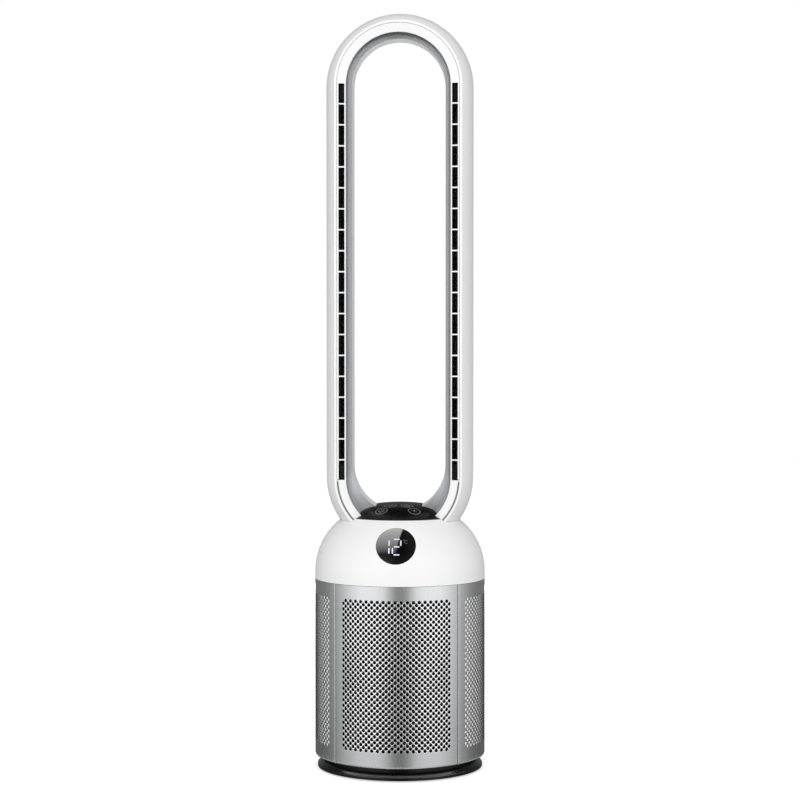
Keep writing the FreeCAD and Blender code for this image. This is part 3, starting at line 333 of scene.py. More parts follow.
# Zinc-plated steel: bright, fine drawn marks.
zinc_plated_steel = metal(
    "zinc_plated_steel", "#b4b6b8", "#c2c4c6", roughness=0.32, mark=0.5, stretch=(1, 1, 6), depth=0.003)
# Natural acetal: milky white bearing plastic.
turned_acetal = plastic(
    "turned_acetal", "#dedcd4", "#e8e6de", roughness=0.4, grain=0.8, depth=0.006, ior=1.48)
# Glass-epoxy board: green resist over a faint glass weave.
green_board_resist = plastic(
    "green_board_resist", "#0d3a22", "#14492b", roughness=0.35, grain=0.8, depth=0.01)
# Moulded epoxy: dull dark cases of board parts.
moulded_epoxy = plastic(
    "moulded_epoxy", "#1b1b1d", "#26262a", roughness=0.55, grain=0.5, depth=0.01)
# Painted shade: the folded aluminium fins behind the slots, drawn near black and dull for the shade in the
# slots.
painted_shade_fins = plastic(
    "painted_shade_fins", "#060606", "#0b0b0b", roughness=0.6, grain=0.4, depth=0.004)
# Silk-screened grey ink: thin, slightly grainy print.
screened_grey_ink = plastic(
    "screened_grey_ink", "#7d8084", "#989b9f", roughness=0.45, grain=0.3, depth=0.003)
# Painted shade: the walls of the holes in the steel sheet, drawn near black and dull for the shade in them,
# so each hole shows black to its rim.
painted_shade_hole_wall = plastic(
    "painted_shade_hole_wall", "#0a0a0a", "#121212", roughness=0.6, grain=0.4, depth=0.004)
# Needled white fleece: bright and fully matte behind the side holes.
white_filter_fleece = plastic(
    "white_filter_fleece", "#f8f8f8", "#fcfcfc", roughness=0.9, grain=0.8, depth=0.05)
silver_trim_lacquer = silver_lacquered_abs()
filter_cloth = woven_nylon_filter()
# Bright segments: white light with a cold tinge.
lit_white_segment = lit_segment("lit_white_segment", "#f0f0ff", strength=1.0)
# Unit sign: the same light, dimmed and bluer.
dim_blue_segment = lit_segment("dim_blue_segment", "#6c6c88", strength=0.7)

FINISHES = {
    "white_abs": moulded_white_abs,
    "silver_paint": silver_trim_lacquer,
    "brushed_panel": brushed_stainless,
    "black_gloss": polished_black_acrylic,
    "black_matte": satin_black_abs,
    "grey_moulding": moulded_grey_polypropylene,
    "soft_rubber": moulded_black_rubber,
    "plain_steel": zinc_plated_steel,
    "bearing_plastic": turned_acetal,
    "circuit_board": green_board_resist,
    "board_parts": moulded_epoxy,
    "heater_fin": painted_shade_fins,
    "filter_mesh": filter_cloth,
}


def finish_cad_nodes():
    """Each CAD node takes the finish of its slot; the touch cap is duller than the window."""
    for row in frame["record"]["subparts"]:
        node = frame["nodes"][row["node"]]
        node.data.materials.clear()
        node.data.materials.append(FINISHES[row["material_slot"]])
    cap = frame["nodes"]["control_cap"]
    cap.data.materials[0] = hazed_black_acrylic


def new_mesh(name, verts, faces, *materials):
    """Mesh with its materials."""
    mesh = bpy.data.meshes.new(name)
    mesh.from_pydata(verts, [], faces)
    for material in materials:
        mesh.materials.append(material)
    return mesh


def new_piece(name, mesh, body):
    """Mesh as a piece of the object, on its body."""
    piece = bpy.data.objects.new(name, mesh)
    bpy.context.scene.collection.objects.link(piece)
    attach(piece, body)
    return piece


# Perforated panels

panel_low_corner, panel_high_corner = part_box("front_panel")
BARREL_RADIUS = -panel_low_corner.y / MM
PANEL_LOW = panel_low_corner.z / MM
LIP_TOP = PANEL_LOW + LIP_BEND
SHEET_HEIGHT = panel_high_corner.z / MM - LIP_TOP
FLANGE_HEIGHT = SHEET_HEIGHT - FLANGE_END
LIP_RUN = LIP_BEND * math.pi / 2
BEND_START = BARREL_RADIUS * math.pi / 4 - PANEL_SEAM / 2 - EDGE_BEND
BEND_END = BEND_START + EDGE_BEND * math.pi / 2
FLANGE_RUN = BEND_END + EDGE_FLANGE
HOLE_PITCH = 2 * HOLE_REACH * BARREL_RADIUS / (HOLE_LONG_ROW - 1)
HOLE_FIRST = HOLE_FIRST_HEIGHT - LIP_TOP


def bent_sheet(across, up, depth):
    """Point of the bent front panel, depth below its outer face, and the face's normal there."""
    side = math.copysign(1.0, across)
    run = abs(across)
    bend = min(max(run - BEND_START, 0.0) / EDGE_BEND, math.pi / 2)
    flange = max(run - BEND_END, 0.0)
    lip = min(max(-up, 0.0) / LIP_BEND, math.pi / 2)
    sink = EDGE_BEND - (EDGE_BEND - depth) * math.cos(bend) + flange
    shift = side * (EDGE_BEND - depth) * math.sin(bend)
    radius = BARREL_RADIUS - LIP_BEND + (LIP_BEND - sink) * math.cos(lip)
    height = LIP_TOP + max(up, 0.0) - (LIP_BEND - sink) * math.sin(lip)
    angle = side * min(run, BEND_START) / BARREL_RADIUS
    outward = Vector((math.sin(angle), -math.cos(angle), 0.0))
    tangent = Vector((math.cos(angle), math.sin(angle), 0.0))
    rise = Vector((0.0, 0.0, 1.0))
    place = (outward * radius + tangent * shift + rise * height) * MM
    unbent = outward * math.cos(lip) - rise * math.sin(lip)
    return place, unbent * math.cos(bend) + tangent * side * math.sin(bend)


def hole_centres():
    """Centres of the holes: short rows with a hole on the centre line between long rows with none there."""
    centres = []
    for row in range(HOLE_ROWS):
        count = HOLE_LONG_ROW - 1 + row % 2
        for column in range(count):
            across = (column - (count - 1) / 2) * HOLE_PITCH
            centres.append((across, HOLE_FIRST + row * HOLE_ROW_PITCH))
    return centres


def from_nearest_hole(across, up):
    """Offset of a flat point from the centre of the nearest hole."""
    nearest = Vector((math.inf, math.inf))
    row = round((up - HOLE_FIRST) / HOLE_ROW_PITCH)
    for near in (row - 1, row, row + 1):
        if not 0 <= near < HOLE_ROWS:
            continue
        count = HOLE_LONG_ROW - 1 + near % 2
        half = (count - 1) / 2
        column = min(max(round(across / HOLE_PITCH + half), 0), count - 1)
        offset = Vector((across - (column - half) * HOLE_PITCH, up - HOLE_FIRST - near * HOLE_ROW_PITCH))
        if offset.length < nearest.length:
            nearest = offset
    return nearest


def in_hole(across, up, radius):
    """True within that radius of a hole's centre."""
    return from_nearest_hole(across, up).length < radius


def in_hole_field(flat, face):
    """True for a triangle with two corners or more on the rims of holes."""
    return sum(in_hole(flat[i].x, flat[i].y, ON_RIM) for i in face) > 1


def outer_normal(across, up):
    """Normal of the outer face; the rim of a hole rolls in a little, so it catches light from the side."""
    normal = bent_sheet(across, up, 0.0)[1]
    offset = from_nearest_hole(across, up)
    if offset.length > ON_RIM:
        return normal
    angle = across / BARREL_RADIUS
    tangent = Vector((math.cos(angle), math.sin(angle), 0.0))
    lean = offset.normalized() * math.tan(RIM_LEAN)
    return (normal - tangent * lean.x - Vector((0.0, 0.0, lean.y))).normalized()


def in_notch(across, up, margin=0.0):
    """True in the notch for the cord bushing."""
    centre = NOTCH_CENTRE - LIP_TOP
    if up < centre:
        return abs(across) < NOTCH_HALF_WIDTH + margin
    return math.hypot(across, up - centre) < NOTCH_HALF_WIDTH + margin


def beside_hole_field(point):
    """True outside the lines through the outermost hole centres and clear of every rim."""
    beside = abs(point.x) > HOLE_REACH * BARREL_RADIUS
    above_or_below = not 0 < (point.y - HOLE_FIRST) / HOLE_ROW_PITCH < HOLE_ROWS - 1
    clear = from_nearest_hole(point.x, point.y).length > CLEAR_OF_RIM
    return (beside or above_or_below) and clear


def past_flange(across, up):
    """True beside the short side flange, where there is no metal."""
    return abs(across) > BEND_END + SLACK and not -SLACK < up < FLANGE_HEIGHT + SLACK


def steps(low, high, length):
    """Even steps from low to high, each about that long."""
    count = max(1, round((high - low) / length))
    return [low + (high - low) * i / count for i in range(count + 1)]


def panel_points(notched):
    """Points of the flat panel pattern: hole rims, the land round them, bends and edges."""
    bends = [BEND_START + (BEND_END - BEND_START) * i / BEND_STEPS for i in range(1, BEND_STEPS + 1)]
    bends.append(FLANGE_RUN)
    columns = [-b for b in bends] + steps(-BEND_START, BEND_START, GRID_STEP) + bends
    rows = [-LIP_RUN * i / LIP_STEPS for i in range(LIP_STEPS, 0, -1)]
    rows += steps(0.0, FLANGE_HEIGHT, GRID_STEP)
    rows += steps(FLANGE_HEIGHT, SHEET_HEIGHT, GRID_STEP)[1:]
    points = []
    for across in columns:
        for up in rows:
            if past_flange(across, up) or in_hole(across, up, HOLE_RADIUS + HOLE_LAND):
                continue
            if notched and in_notch(across, up, HOLE_LAND):
                continue
            points.append(Vector((across, up)))
    for across, up in hole_centres():
        for i in range(HOLE_SIDES):
            turn = math.tau * i / HOLE_SIDES
            spoke = Vector((math.cos(turn), math.sin(turn)))
            points.append(Vector((across, up)) + spoke * HOLE_RADIUS)
            beyond = Vector((across, up)) + spoke * (HOLE_RADIUS + RIM_BAND)
            if beside_hole_field(beyond):
                points.append(beyond)
    if notched:
        centre = NOTCH_CENTRE - LIP_TOP
        for turn in steps(0.0, math.pi, NOTCH_TURN_STEP):
            across = NOTCH_HALF_WIDTH * math.cos(turn)
            points.append(Vector((across, centre + NOTCH_HALF_WIDTH * math.sin(turn))))
        for up in steps(-LIP_RUN, centre, NOTCH_SIDE_STEP)[:-1]:
            points.append(Vector((-NOTCH_HALF_WIDTH, up)))
            points.append(Vector((NOTCH_HALF_WIDTH, up)))
    return points


def panel_triangles(points, notched):
    """Triangles of the flat pattern that are metal."""
    flat, _, faces, _, _, _ = geometry.delaunay_2d_cdt(points, [], [], 0, SAME_POINT)
    kept = []
    for face in faces:
        across = sum(flat[i].x for i in face) / 3
        up = sum(flat[i].y for i in face) / 3
        if past_flange(across, up) or in_hole(across, up, CUT_AWAY):
            continue
        if notched and in_notch(across, up):
            continue
        kept.append(tuple(face))
    return flat, kept


def panel_mesh(name, notched):
    """Bent and pierced sheet with its thickness; the normals follow the true curve."""
    flat, triangles = panel_triangles(panel_points(notched), notched)
    outer = [bent_sheet(p.x, p.y, 0.0) for p in flat]
    inner = [bent_sheet(p.x, p.y, PANEL_SHEET) for p in flat]
    rolled = [outer_normal(p.x, p.y) for p in flat]
    places = [place for place, _ in outer + inner]
    finishes = (brushed_stainless, painted_highlight_stainless, painted_shade_hole_wall)
    count = len(flat)
    faces = []
    normals = []
    parts = []
    directed = set()
    for a, b, c in triangles:
        directed.update(((a, b), (b, c), (c, a)))
        faces.append((a, b, c))
        normals += [rolled[i] for i in (a, b, c)]
        faces.append((c + count, b + count, a + count))
        normals += [-outer[i][1] for i in (c, b, a)]
        # Strips between the holes take the lighter copy of the metal: a painted highlight.
        finish = painted_highlight_stainless if in_hole_field(flat, (a, b, c)) else brushed_stainless
        parts += [finishes.index(finish)] * 2
    for a, b in sorted(directed):
        if (b, a) in directed:
            continue
        wall = (a, a + count, b + count, b)
        faces.append(wall)
        # The walls of the holes take the near-black finish: painted shade.
        parts.append(finishes.index(painted_shade_hole_wall))
        normals += [(places[wall[1]] - places[wall[0]]).cross(places[b] - places[a]).normalized()] * 4
    mesh = new_mesh(name, places, faces, *finishes)
    mesh.polygons.foreach_set("use_smooth", [True] * len(faces))
    mesh.polygons.foreach_set("material_index", parts)
    mesh.normals_split_custom_set(normals)
    return mesh


def make_panels():
    """Four pierced quarter panels in place of the coarse ones; the notched rear one rides on its cover."""
    plain = panel_mesh("pierced_panel", False)
    notched = panel_mesh("pierced_rear_panel", True)
    # The side panels keep the plain brushed finish between their holes, without the painted highlight.
    brushed_side = plain.copy()
    brushed_side.materials[1] = brushed_stainless
    quarters = (
        ("front", 0.0, plain, "tower"),
        ("right", math.pi / 2, brushed_side, "tower"),
        ("rear", math.pi, notched, "rear_cover"),
        ("left", -math.pi / 2, brushed_side, "tower"),
    )
    panels = {}
    for side, turn, mesh, body in quarters:
        piece = new_piece("pierced_" + side + "_panel", mesh, body)
        piece.rotation_euler.z = turn
        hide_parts(side + "_panel")
        panels[side] = piece
    return panels


def arc_bar(name, material, radii, heights, turns, columns):
    """Bar of rectangular section bent round the Z axis, from the -Y side, between two angles."""
    inner, outer = radii
    low, high = heights
    start, end = turns
    verts = []
    for turn in steps(start, end, (end - start) / columns):
        for radius, height in ((outer, low), (outer, high), (inner, high), (inner, low)):
            verts.append((radius * math.sin(turn) * MM, -radius * math.cos(turn) * MM, height * MM))
    faces = [(3, 2, 1, 0)]
    for i in range(columns):
        a = 4 * i
        for j in range(4):
            k = (j + 1) % 4
            faces.append((a + j, a + k, a + 4 + k, a + 4 + j))
    last = 4 * columns
    faces.append((last, last + 1, last + 2, last + 3))
    return new_mesh(name, verts, faces, material)


def make_liners():
    """Jackets close behind the holes of the left and right panels, which show pale."""
    half = HOLE_REACH + LINER_MARGIN / BARREL_RADIUS
    low = HOLE_FIRST_HEIGHT - LINER_MARGIN
    high = HOLE_FIRST_HEIGHT + (HOLE_ROWS - 1) * HOLE_ROW_PITCH + LINER_MARGIN
    outer = BARREL_RADIUS - LINER_DEPTH
    radii = (outer - LINER_THICKNESS, outer)
    for side, turn in (("right", math.pi / 2), ("left", -math.pi / 2)):
        name = side + "_panel_liner"
        mesh = arc_bar(name, white_filter_fleece, radii, (low, high), (-half, half), LINER_COLUMNS)
        piece = new_piece(name, mesh, "tower")
        piece.rotation_euler.z = turn


def make_groove_shade_strips():
    """Grey strips of painted shade in the groove beside the outlet strip, round both lower bends of the
    loop, standing in for its shadow line.
    """
    low_corner, high_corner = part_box("loop_front_shell")
    front = -low_corner.y / MM - GROOVE_SHADE_DEPTH
    heights = (front - GROOVE_SHADE_THICKNESS, front)
    bend_centre = high_corner.z - (LOOP_RADIUS + LOOP_STRAIGHT) * MM
    start, end = GROOVE_SHADE_SPAN
    for side, turns in (("right", (start, end)), ("left", (-end, -start))):
        name = side + "_groove_shade_strip"
        mesh = arc_bar(name, painted_groove_shade, GROOVE_SHADE_RADII, heights, turns, GROOVE_SHADE_COLUMNS)
        piece = new_piece(name, mesh, "tower")
        piece.location.z = bend_centre
        piece.rotation_euler.x = math.pi / 2


# Display and touch keys

def surface_tree(node):
    """Search tree of a CAD node's faces."""
    mesh = frame["nodes"][node].data
    return BVHTree.FromPolygons([v.co for v in mesh.vertices], [p.vertices for p in mesh.polygons])


def bar(start, end, width):
    """Segment of a digit: a straight stroke with pointed ends."""
    a = Vector(start)
    b = Vector(end)
    along = (b - a).normalized()
    tip = along * width / 2
    body = b - a - 2 * tip
    stations = [a, a + tip]
    stations += [a + tip + body * i / DIGIT_BAR_STEPS for i in range(1, DIGIT_BAR_STEPS + 1)]
    stations.append(b)
    widths = [DIGIT_BAR_TIP] + [width] * (len(stations) - 2) + [DIGIT_BAR_TIP]
    return stations, widths, False


def stroke(points, width, closed=False):
    """Line of even width through points."""
    stations = [Vector(p) for p in points]
    return stations, [width] * len(stations), closed


def round_line(centre, radius, width, arc=(0.0, math.tau), count=40):
    """Circular line, whole or part."""
    start, end = arc
    whole = math.isclose(end - start, math.tau)
    turns = [start + (end - start) * i / count for i in range(count if whole else count + 1)]
    points = [(centre[0] + radius * math.cos(t), centre[1] + radius * math.sin(t)) for t in turns]
    return stroke(points, width, whole)


def draped_mesh(name, material, lines, place, normal):
    """Thin strips along lines, laid on a surface: place puts a flat point on it, normal points off it."""
    verts = []
    faces = []
    for stations, widths, closed in lines:
        first = len(verts)
        count = len(stations)
        for i, station in enumerate(stations):
            before = stations[i - 1] if i or closed else station
            after = stations[(i + 1) % count] if i < count - 1 or closed else station
            along = (after - before).normalized()
            aside = Vector((-along.y, along.x)) * widths[i] / 2
            for edge in (station + aside, station - aside):
                foot = place(edge)
                verts.append(foot + normal * INK_THICKNESS * MM)
                verts.append(foot - normal * INK_SUNK * MM)
        for i in range(count if closed else count - 1):
            a = first + 4 * i
            b = first + 4 * ((i + 1) % count)
            faces += [(a, a + 2, b + 2, b), (a + 1, b + 1, b + 3, a + 3),
                      (a, b, b + 1, a + 1), (a + 2, a + 3, b + 3, b + 2)]
        if not closed:
            last = first + 4 * (count - 1)
            faces += [(first, first + 1, first + 3, first + 2), (last, last + 2, last + 3, last + 1)]
    return new_mesh(name, verts, faces, material)


def digit_bars(centre, names):
    """Lit bars of one digit: a top, b and c right, d foot, e lower left, g middle."""
    left = centre - DIGIT_WIDTH / 2
    right = centre + DIGIT_WIDTH / 2
    top = DIGIT_DROP + DIGIT_HEIGHT / 2
    foot = DIGIT_DROP - DIGIT_HEIGHT / 2
    gap = DIGIT_BAR_GAP
    ends = {
        "a": ((left + gap, top), (right - gap, top)),
        "b": ((right, top - gap), (right, DIGIT_DROP + gap)),
        "c": ((right, DIGIT_DROP - gap), (right, foot + gap)),
        "d": ((left + gap, foot), (right - gap, foot)),
        "e": ((left, DIGIT_DROP - gap), (left, foot + gap)),
        "g": ((left + gap, DIGIT_DROP), (right - gap, DIGIT_DROP)),
    }
    return [bar(*ends[n], DIGIT_BAR) for n in names]


def make_display():
    """Room temperature in lit segments on the window."""
    tree = surface_tree("display_lens")
    low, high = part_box("display_lens")
    middle = (low + high) / 2
    outward = Vector((0.0, -math.cos(DISPLAY_TILT), math.sin(DISPLAY_TILT)))
    upward = Vector((0.0, math.sin(DISPLAY_TILT), math.cos(DISPLAY_TILT)))
    stand_off = outward * (WINDOW_STAND_OFF * MM)

    def place(point):
        start = middle + Vector((point.x * MM, 0.0, 0.0)) + upward * point.y * MM + stand_off
        return tree.ray_cast(start, -outward)[0]

    lines = digit_bars(ONE_COLUMN - DIGIT_WIDTH / 2, "bc") + digit_bars(TWO_CENTRE, "abged")
    mesh = draped_mesh("room_temperature_digits", lit_white_segment, lines, place, outward)
    new_piece("room_temperature_digits", mesh, "tower")
    unit = [round_line(DEGREE_PLACE, DEGREE_RADIUS, DEGREE_LINE, count=UNIT_STEPS),
            round_line(CELSIUS_PLACE, CELSIUS_RADIUS, CELSIUS_LINE, CELSIUS_ARC, UNIT_STEPS)]
    mesh = draped_mesh("degree_unit", dim_blue_segment, unit, place, outward)
    new_piece("degree_unit", mesh, "tower")


def key_signs():
    """Four keys in turn: power, warmer, swing and timer, each a ring with its sign."""
    front_x, front_y = KEY_FRONT
    rear_x, rear_y = KEY_REAR
    line = KEY_LINE
    signs = []
    for cx, cy in ((-front_x, front_y), (front_x, front_y), (-rear_x, rear_y), (rear_x, rear_y)):
        signs.append(round_line((cx, cy), KEY_RADIUS, line))
    signs.append(round_line((-front_x, front_y), POWER_RADIUS, line, POWER_ARC, count=24))
    signs.append(stroke([(-front_x, front_y + i) for i in POWER_STROKE], line))
    signs.append(stroke([(front_x + i, front_y) for i in PLUS_STROKE], line))
    signs.append(stroke([(front_x, front_y + i) for i in PLUS_STROKE], line))
    signs.append(round_line((-rear_x, rear_y), SWING_RADIUS, line, SWING_ARC, count=12))
    signs.append(stroke([(-rear_x + i, rear_y + abs(i) / 2 + SWING_TICK_RISE) for i in SWING_TICK], line))
    signs.append(round_line((rear_x, rear_y), TIMER_RADIUS, line, count=28))
    signs.append(stroke([(rear_x + x, rear_y + y) for x, y in TIMER_HANDS], line))
    return signs


def make_touch_keys():
    """Printed key rings on the cap."""
    tree = surface_tree("control_cap")
    upward = Vector((0.0, 0.0, 1.0))

    def place(point):
        return tree.ray_cast(Vector((point.x, point.y, CAP_STAND_OFF)) * MM, -upward)[0]

    mesh = draped_mesh("touch_key_print", screened_grey_ink, key_signs(), place, upward)
    new_piece("touch_key_print", mesh, "tower")


# Studio, in metres

TENT_RADIUS = 3.4
TENT_HEIGHT = 0.4
TENT_COLUMNS = 48
TENT_RINGS = 24
TENT_POLE = 0.001

# Tones of the tent round the heater, from straight ahead at 0 to straight behind at 1
TENT_TONES = (
    (0.0, 0.31), (0.04, 0.38), (0.09, 0.95), (0.13, 1.43), (0.30, 1.46), (0.40, 1.05), (0.50, 0.64),
    (0.62, 0.33), (0.72, 0.26), (0.80, 0.24), (0.90, 0.24), (1.0, 0.16),
)
# Heights between which the tent's tone changes, in shares of its radius
TENT_TOP_BAND = (0.12, 0.6)
TENT_TOP_TONE = 0.15
TENT_FOOT_BAND = (-0.46, -0.12)
TENT_FOOT_TONE = 0.1
TENT_UNDER_BAND = (-0.9, -0.6)
TENT_UNDER_TONE = 0.5

CARD_CORNER = (0.0915, -0.12, 1.9)
CARD_WIDTH = 1.7
CARD_LENGTH = 2.15
CARD_TURN = math.radians(-6.6)
CARD_STRENGTH = 10.0
GLEAM_INNER = 0.122
GLEAM_OUTER = 0.145
GLEAM_SIDES = 48
GLEAM_STRENGTH = 0.8
FLOOR_HALF = 6.0
FLOOR_DROP = 0.0005
FLOOR_GLOW = 0.5
WORLD_LIGHT = 0.65


def stage_object(name, mesh):
    """Part of the studio, not of the heater."""
    item = bpy.data.objects.new(name, mesh)
    bpy.context.scene.collection.objects.link(item)
    return item


def only_in_reflections(item):
    """Shown only by gloss: it shapes highlights and lights nothing."""
    item.visible_camera = False
    item.visible_diffuse = False
    item.visible_transmission = False
    item.visible_shadow = False


def shine_only_on(light, pieces):
    """Keeps a light to some pieces of the heater."""
    lit = bpy.data.collections.new(light.name + "_receivers")
    for piece in pieces:
        lit.objects.link(piece)
    light.light_linking.receiver_collection = lit


def make_world():
    """White surroundings for the eye, gloss and glass, dimmer as a light."""
    world = bpy.data.worlds.new("studio_surround")
    world.use_nodes = True
    tree = world.node_tree
    tree.nodes.clear()
    rays = add(tree, "LightPath", {}).outputs
    seen = rays["Is Camera Ray"]
    for kind in ("Is Glossy Ray", "Is Transmission Ray"):
        seen = add(tree, "Math", {0: seen, 1: rays[kind]}, operation="MAXIMUM").outputs[0]
    strength = add(tree, "MapRange", {"Value": seen, "To Min": WORLD_LIGHT, "To Max": 1.0})
    glow = add(tree, "Background", {"Color": WHITE, "Strength": strength.outputs["Result"]})
    add(tree, "OutputWorld", {"Surface": glow.outputs["Background"]})
    bpy.context.scene.world = world


def make_floor():
    """Pale floor that reads white and keeps the contact shadow."""
    material, tree = new_material("white_studio_floor")
    place = add(tree, "TexCoord", {}).outputs["Object"]
    cloud = add(tree, "TexNoise", {"Vector": place, "Scale": 1 / (FLOOR_CLOUD * MM)}).outputs["Fac"]
    tone = add(tree, "Mix", {
        MIX_SHARE: cloud, MIX_DARK: linear("#eaeaea"), MIX_LIGHT: linear("#eeeeee")}, data_type="RGBA")
    rays = add(tree, "LightPath", {}).outputs
    glow = add(tree, "Math", {0: rays["Is Camera Ray"], 1: FLOOR_GLOW}, operation="MULTIPLY")
    shader = add(tree, "BsdfPrincipled", {
        "Base Color": tone.outputs[MIX_TONE], "Roughness": 0.9,
        "Emission Color": WHITE, "Emission Strength": glow.outputs[0]})
    add(tree, "OutputMaterial", {"Surface": shader.outputs["BSDF"]})
    half = FLOOR_HALF
    corners = [(-half, -half, 0), (half, -half, 0), (half, half, 0), (-half, half, 0)]
    floor = stage_object("studio_floor", new_mesh("studio_floor", corners, [(0, 1, 2, 3)], material))
    floor.location.z = -FLOOR_DROP
    floor.visible_glossy = False


def make_floor_gleam(panels):
    """Pale ring on the floor round the foot, seen only in the turned-in lower edges of the panels."""
    material, tree = new_material("floor_gleam")
    glow = add(tree, "Emission", {"Color": WHITE, "Strength": GLEAM_STRENGTH})
    add(tree, "OutputMaterial", {"Surface": glow.outputs["Emission"]})
    verts = []
    faces = []
    for i in range(GLEAM_SIDES):
        turn = math.tau * i / GLEAM_SIDES
        for radius in (GLEAM_INNER, GLEAM_OUTER):
            verts.append((radius * math.cos(turn), radius * math.sin(turn), 0))
        k = (i + 1) % GLEAM_SIDES
        faces.append((2 * i, 2 * i + 1, 2 * k + 1, 2 * k))
    gleam = stage_object("floor_gleam", new_mesh("floor_gleam", verts, faces, material))
    gleam.location.z = -FLOOR_DROP
    only_in_reflections(gleam)
    shine_only_on(gleam, panels.values())


def tent_material():
    """Glow of the tent: bright either side, dim ahead, overhead and behind, paler underneath."""
    material, tree = new_material("reflection_tent")
    place = add(tree, "TexCoord", {}).outputs["Object"]
    axes = add(tree, "SeparateXYZ", {"Vector": place}).outputs
    ahead = add(tree, "Math", {0: axes["Y"], 1: -1.0}, operation="MULTIPLY").outputs[0]
    turn = add(tree, "Math", {0: axes["X"], 1: ahead}, operation="ARCTAN2").outputs[0]
    away = add(tree, "Math", {0: turn}, operation="ABSOLUTE").outputs[0]
    share = add(tree, "Math", {0: away, 1: math.pi}, operation="DIVIDE").outputs[0]
    tones = add(tree, "ValToRGB", {"Fac": share})
    ramp = tones.color_ramp
    while len(ramp.elements) < len(TENT_TONES):
        ramp.elements.new(1.0)
    for element, (position, tone) in zip(ramp.elements, TENT_TONES):
        element.position = position
        element.color = (tone, tone, tone, 1)
    bands = []
    for (low, high), low_tone, high_tone in (
            (TENT_TOP_BAND, 1.0, TENT_TOP_TONE),
            (TENT_FOOT_BAND, TENT_FOOT_TONE, 1.0),
            (TENT_UNDER_BAND, TENT_UNDER_TONE, 0.0)):
        band = add(tree, "MapRange", {
            "Value": axes["Z"], "From Min": low * TENT_RADIUS, "From Max": high * TENT_RADIUS,
            "To Min": low_tone, "To Max": high_tone})
        bands.append(band.outputs["Result"])
    top, foot, under = bands
    dim = add(tree, "Math", {0: top, 1: foot, 2: under}, operation="MULTIPLY_ADD").outputs[0]
    wall = add(tree, "Math", {0: tones.outputs["Color"], 1: dim}, operation="MULTIPLY").outputs[0]
    glow = add(tree, "Emission", {"Color": WHITE, "Strength": wall})
    add(tree, "OutputMaterial", {"Surface": glow.outputs["Emission"]})
    return material


def make_reflection_tent():
    """Round tent seen only in gloss."""
    verts = []
    for i in range(TENT_RINGS + 1):
        rise = math.pi * (i / TENT_RINGS - 0.5)
        reach = TENT_RADIUS * max(math.cos(rise), TENT_POLE)
        for j in range(TENT_COLUMNS):
            turn = math.tau * j / TENT_COLUMNS
            verts.append((reach * math.sin(turn), -reach * math.cos(turn), TENT_RADIUS * math.sin(rise)))
    faces = []
    for i in range(TENT_RINGS):
        low = i * TENT_COLUMNS
        high = low + TENT_COLUMNS
        for j in range(TENT_COLUMNS):
            k = (j + 1) % TENT_COLUMNS
            faces.append((low + j, low + k, high + k, high + j))
    mesh = new_mesh("reflection_tent", verts, faces, tent_material())
    tent = stage_object("reflection_tent", mesh)
    tent.location.z = TENT_HEIGHT
    tent.rotation_euler.z = CAMERA_SIDE_ANGLE
    only_in_reflections(tent)


def make_window_card():
    """Overhead bank seen only in the window: it fades towards the front and ends in a straight edge."""
    material, tree = new_material("window_card")
    place = add(tree, "TexCoord", {}).outputs["Object"]
    axes = add(tree, "SeparateXYZ", {"Vector": place}).outputs
    fade = add(tree, "MapRange", {
        "Value": axes["Y"], "From Min": -CARD_LENGTH, "From Max": 0.0,
        "To Min": 0.0, "To Max": CARD_STRENGTH})
    glow = add(tree, "Emission", {"Color": WHITE, "Strength": fade.outputs["Result"]})
    add(tree, "OutputMaterial", {"Surface": glow.outputs["Emission"]})
    corners = [(-CARD_WIDTH, -CARD_LENGTH, 0), (-CARD_WIDTH, 0, 0), (0, 0, 0), (0, -CARD_LENGTH, 0)]
    card = stage_object("window_card", new_mesh("window_card", corners, [(0, 1, 2, 3)], material))
    card.location = CARD_CORNER
    card.rotation_euler.z = CARD_TURN
    only_in_reflections(card)
    shine_only_on(card, [frame["nodes"]["display_lens"]])


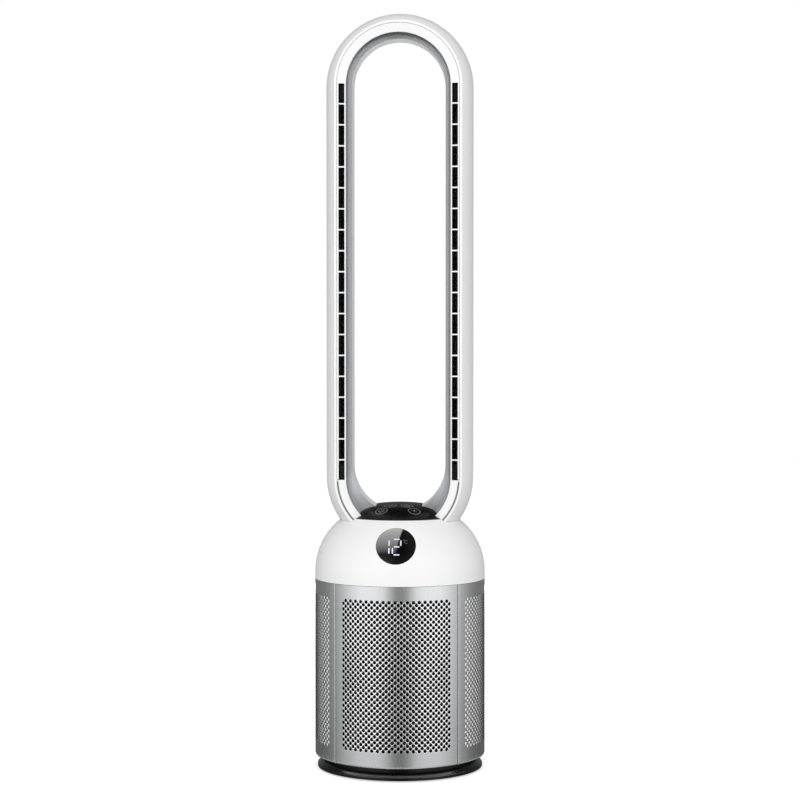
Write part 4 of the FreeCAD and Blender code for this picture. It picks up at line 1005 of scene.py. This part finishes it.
def aim(item, place, target):
    """Puts a lamp or the camera at a place, turned to a target."""
    item.location = place
    item.rotation_euler = (Vector(target) - Vector(place)).to_track_quat("-Z", "Y").to_euler()


def area_lamp(name, place, target, size, power):
    """Soft rectangular lamp aimed at a point."""
    lamp = bpy.data.lights.new(name, "AREA")
    lamp.shape = "RECTANGLE"
    lamp.size, lamp.size_y = size
    lamp.energy = power
    item = bpy.data.objects.new(name, lamp)
    aim(item, place, target)
    item.visible_glossy = False
    bpy.context.scene.collection.objects.link(item)
    return item


def make_lamps(panels):
    """Broad front light, a lift from behind, and shines on the rim of the foot and the rear panel."""
    area_lamp(
        "front_lamp", place=(0.0, -2.5, 1.7), target=(0.0, 0.0, 0.45), size=(2.8, 1.8), power=39.0)
    area_lamp(
        "back_lamp", place=(0.0, 2.0, 0.25), target=(0.0, 0.0, 0.75), size=(1.6, 0.8), power=17.0)
    rim_lamp = area_lamp(
        "rim_lamp", place=(0.0, -0.5, 1.6), target=(0.0, -0.5, 0.0), size=(4.0, 1.6), power=110.0)
    rim_lamp.visible_glossy = True
    shine_only_on(rim_lamp, [frame["nodes"]["foot_base"]])
    rear_lamp = area_lamp(
        "rear_lamp", place=(0.0, 1.0, -0.1), target=(0.0, 0.0, 0.0), size=(2.2, 0.6), power=3.2)
    rear_lamp.visible_glossy = True
    shine_only_on(rear_lamp, [panels["rear"]])
    # It shines from below the floor, which must not shade it.
    rear_lamp.light_linking.blocker_collection = rear_lamp.light_linking.receiver_collection


def make_camera():
    """Camera at the photograph's angle."""
    data = bpy.data.cameras.new("camera")
    data.lens = CAMERA_LENS
    data.sensor_width = CAMERA_SENSOR
    item = bpy.data.objects.new("camera", data)
    aim(item, CAMERA_PLACE, CAMERA_TARGET)
    bpy.context.scene.collection.objects.link(item)
    bpy.context.scene.camera = item


finish_cad_nodes()
panels = make_panels()
make_liners()
make_groove_shade_strips()
make_display()
make_touch_keys()
make_camera()
make_world()
make_floor()
make_floor_gleam(panels)
make_reflection_tent()
make_window_card()
make_lamps(panels)
bpy.context.scene.view_settings.view_transform = "Standard"
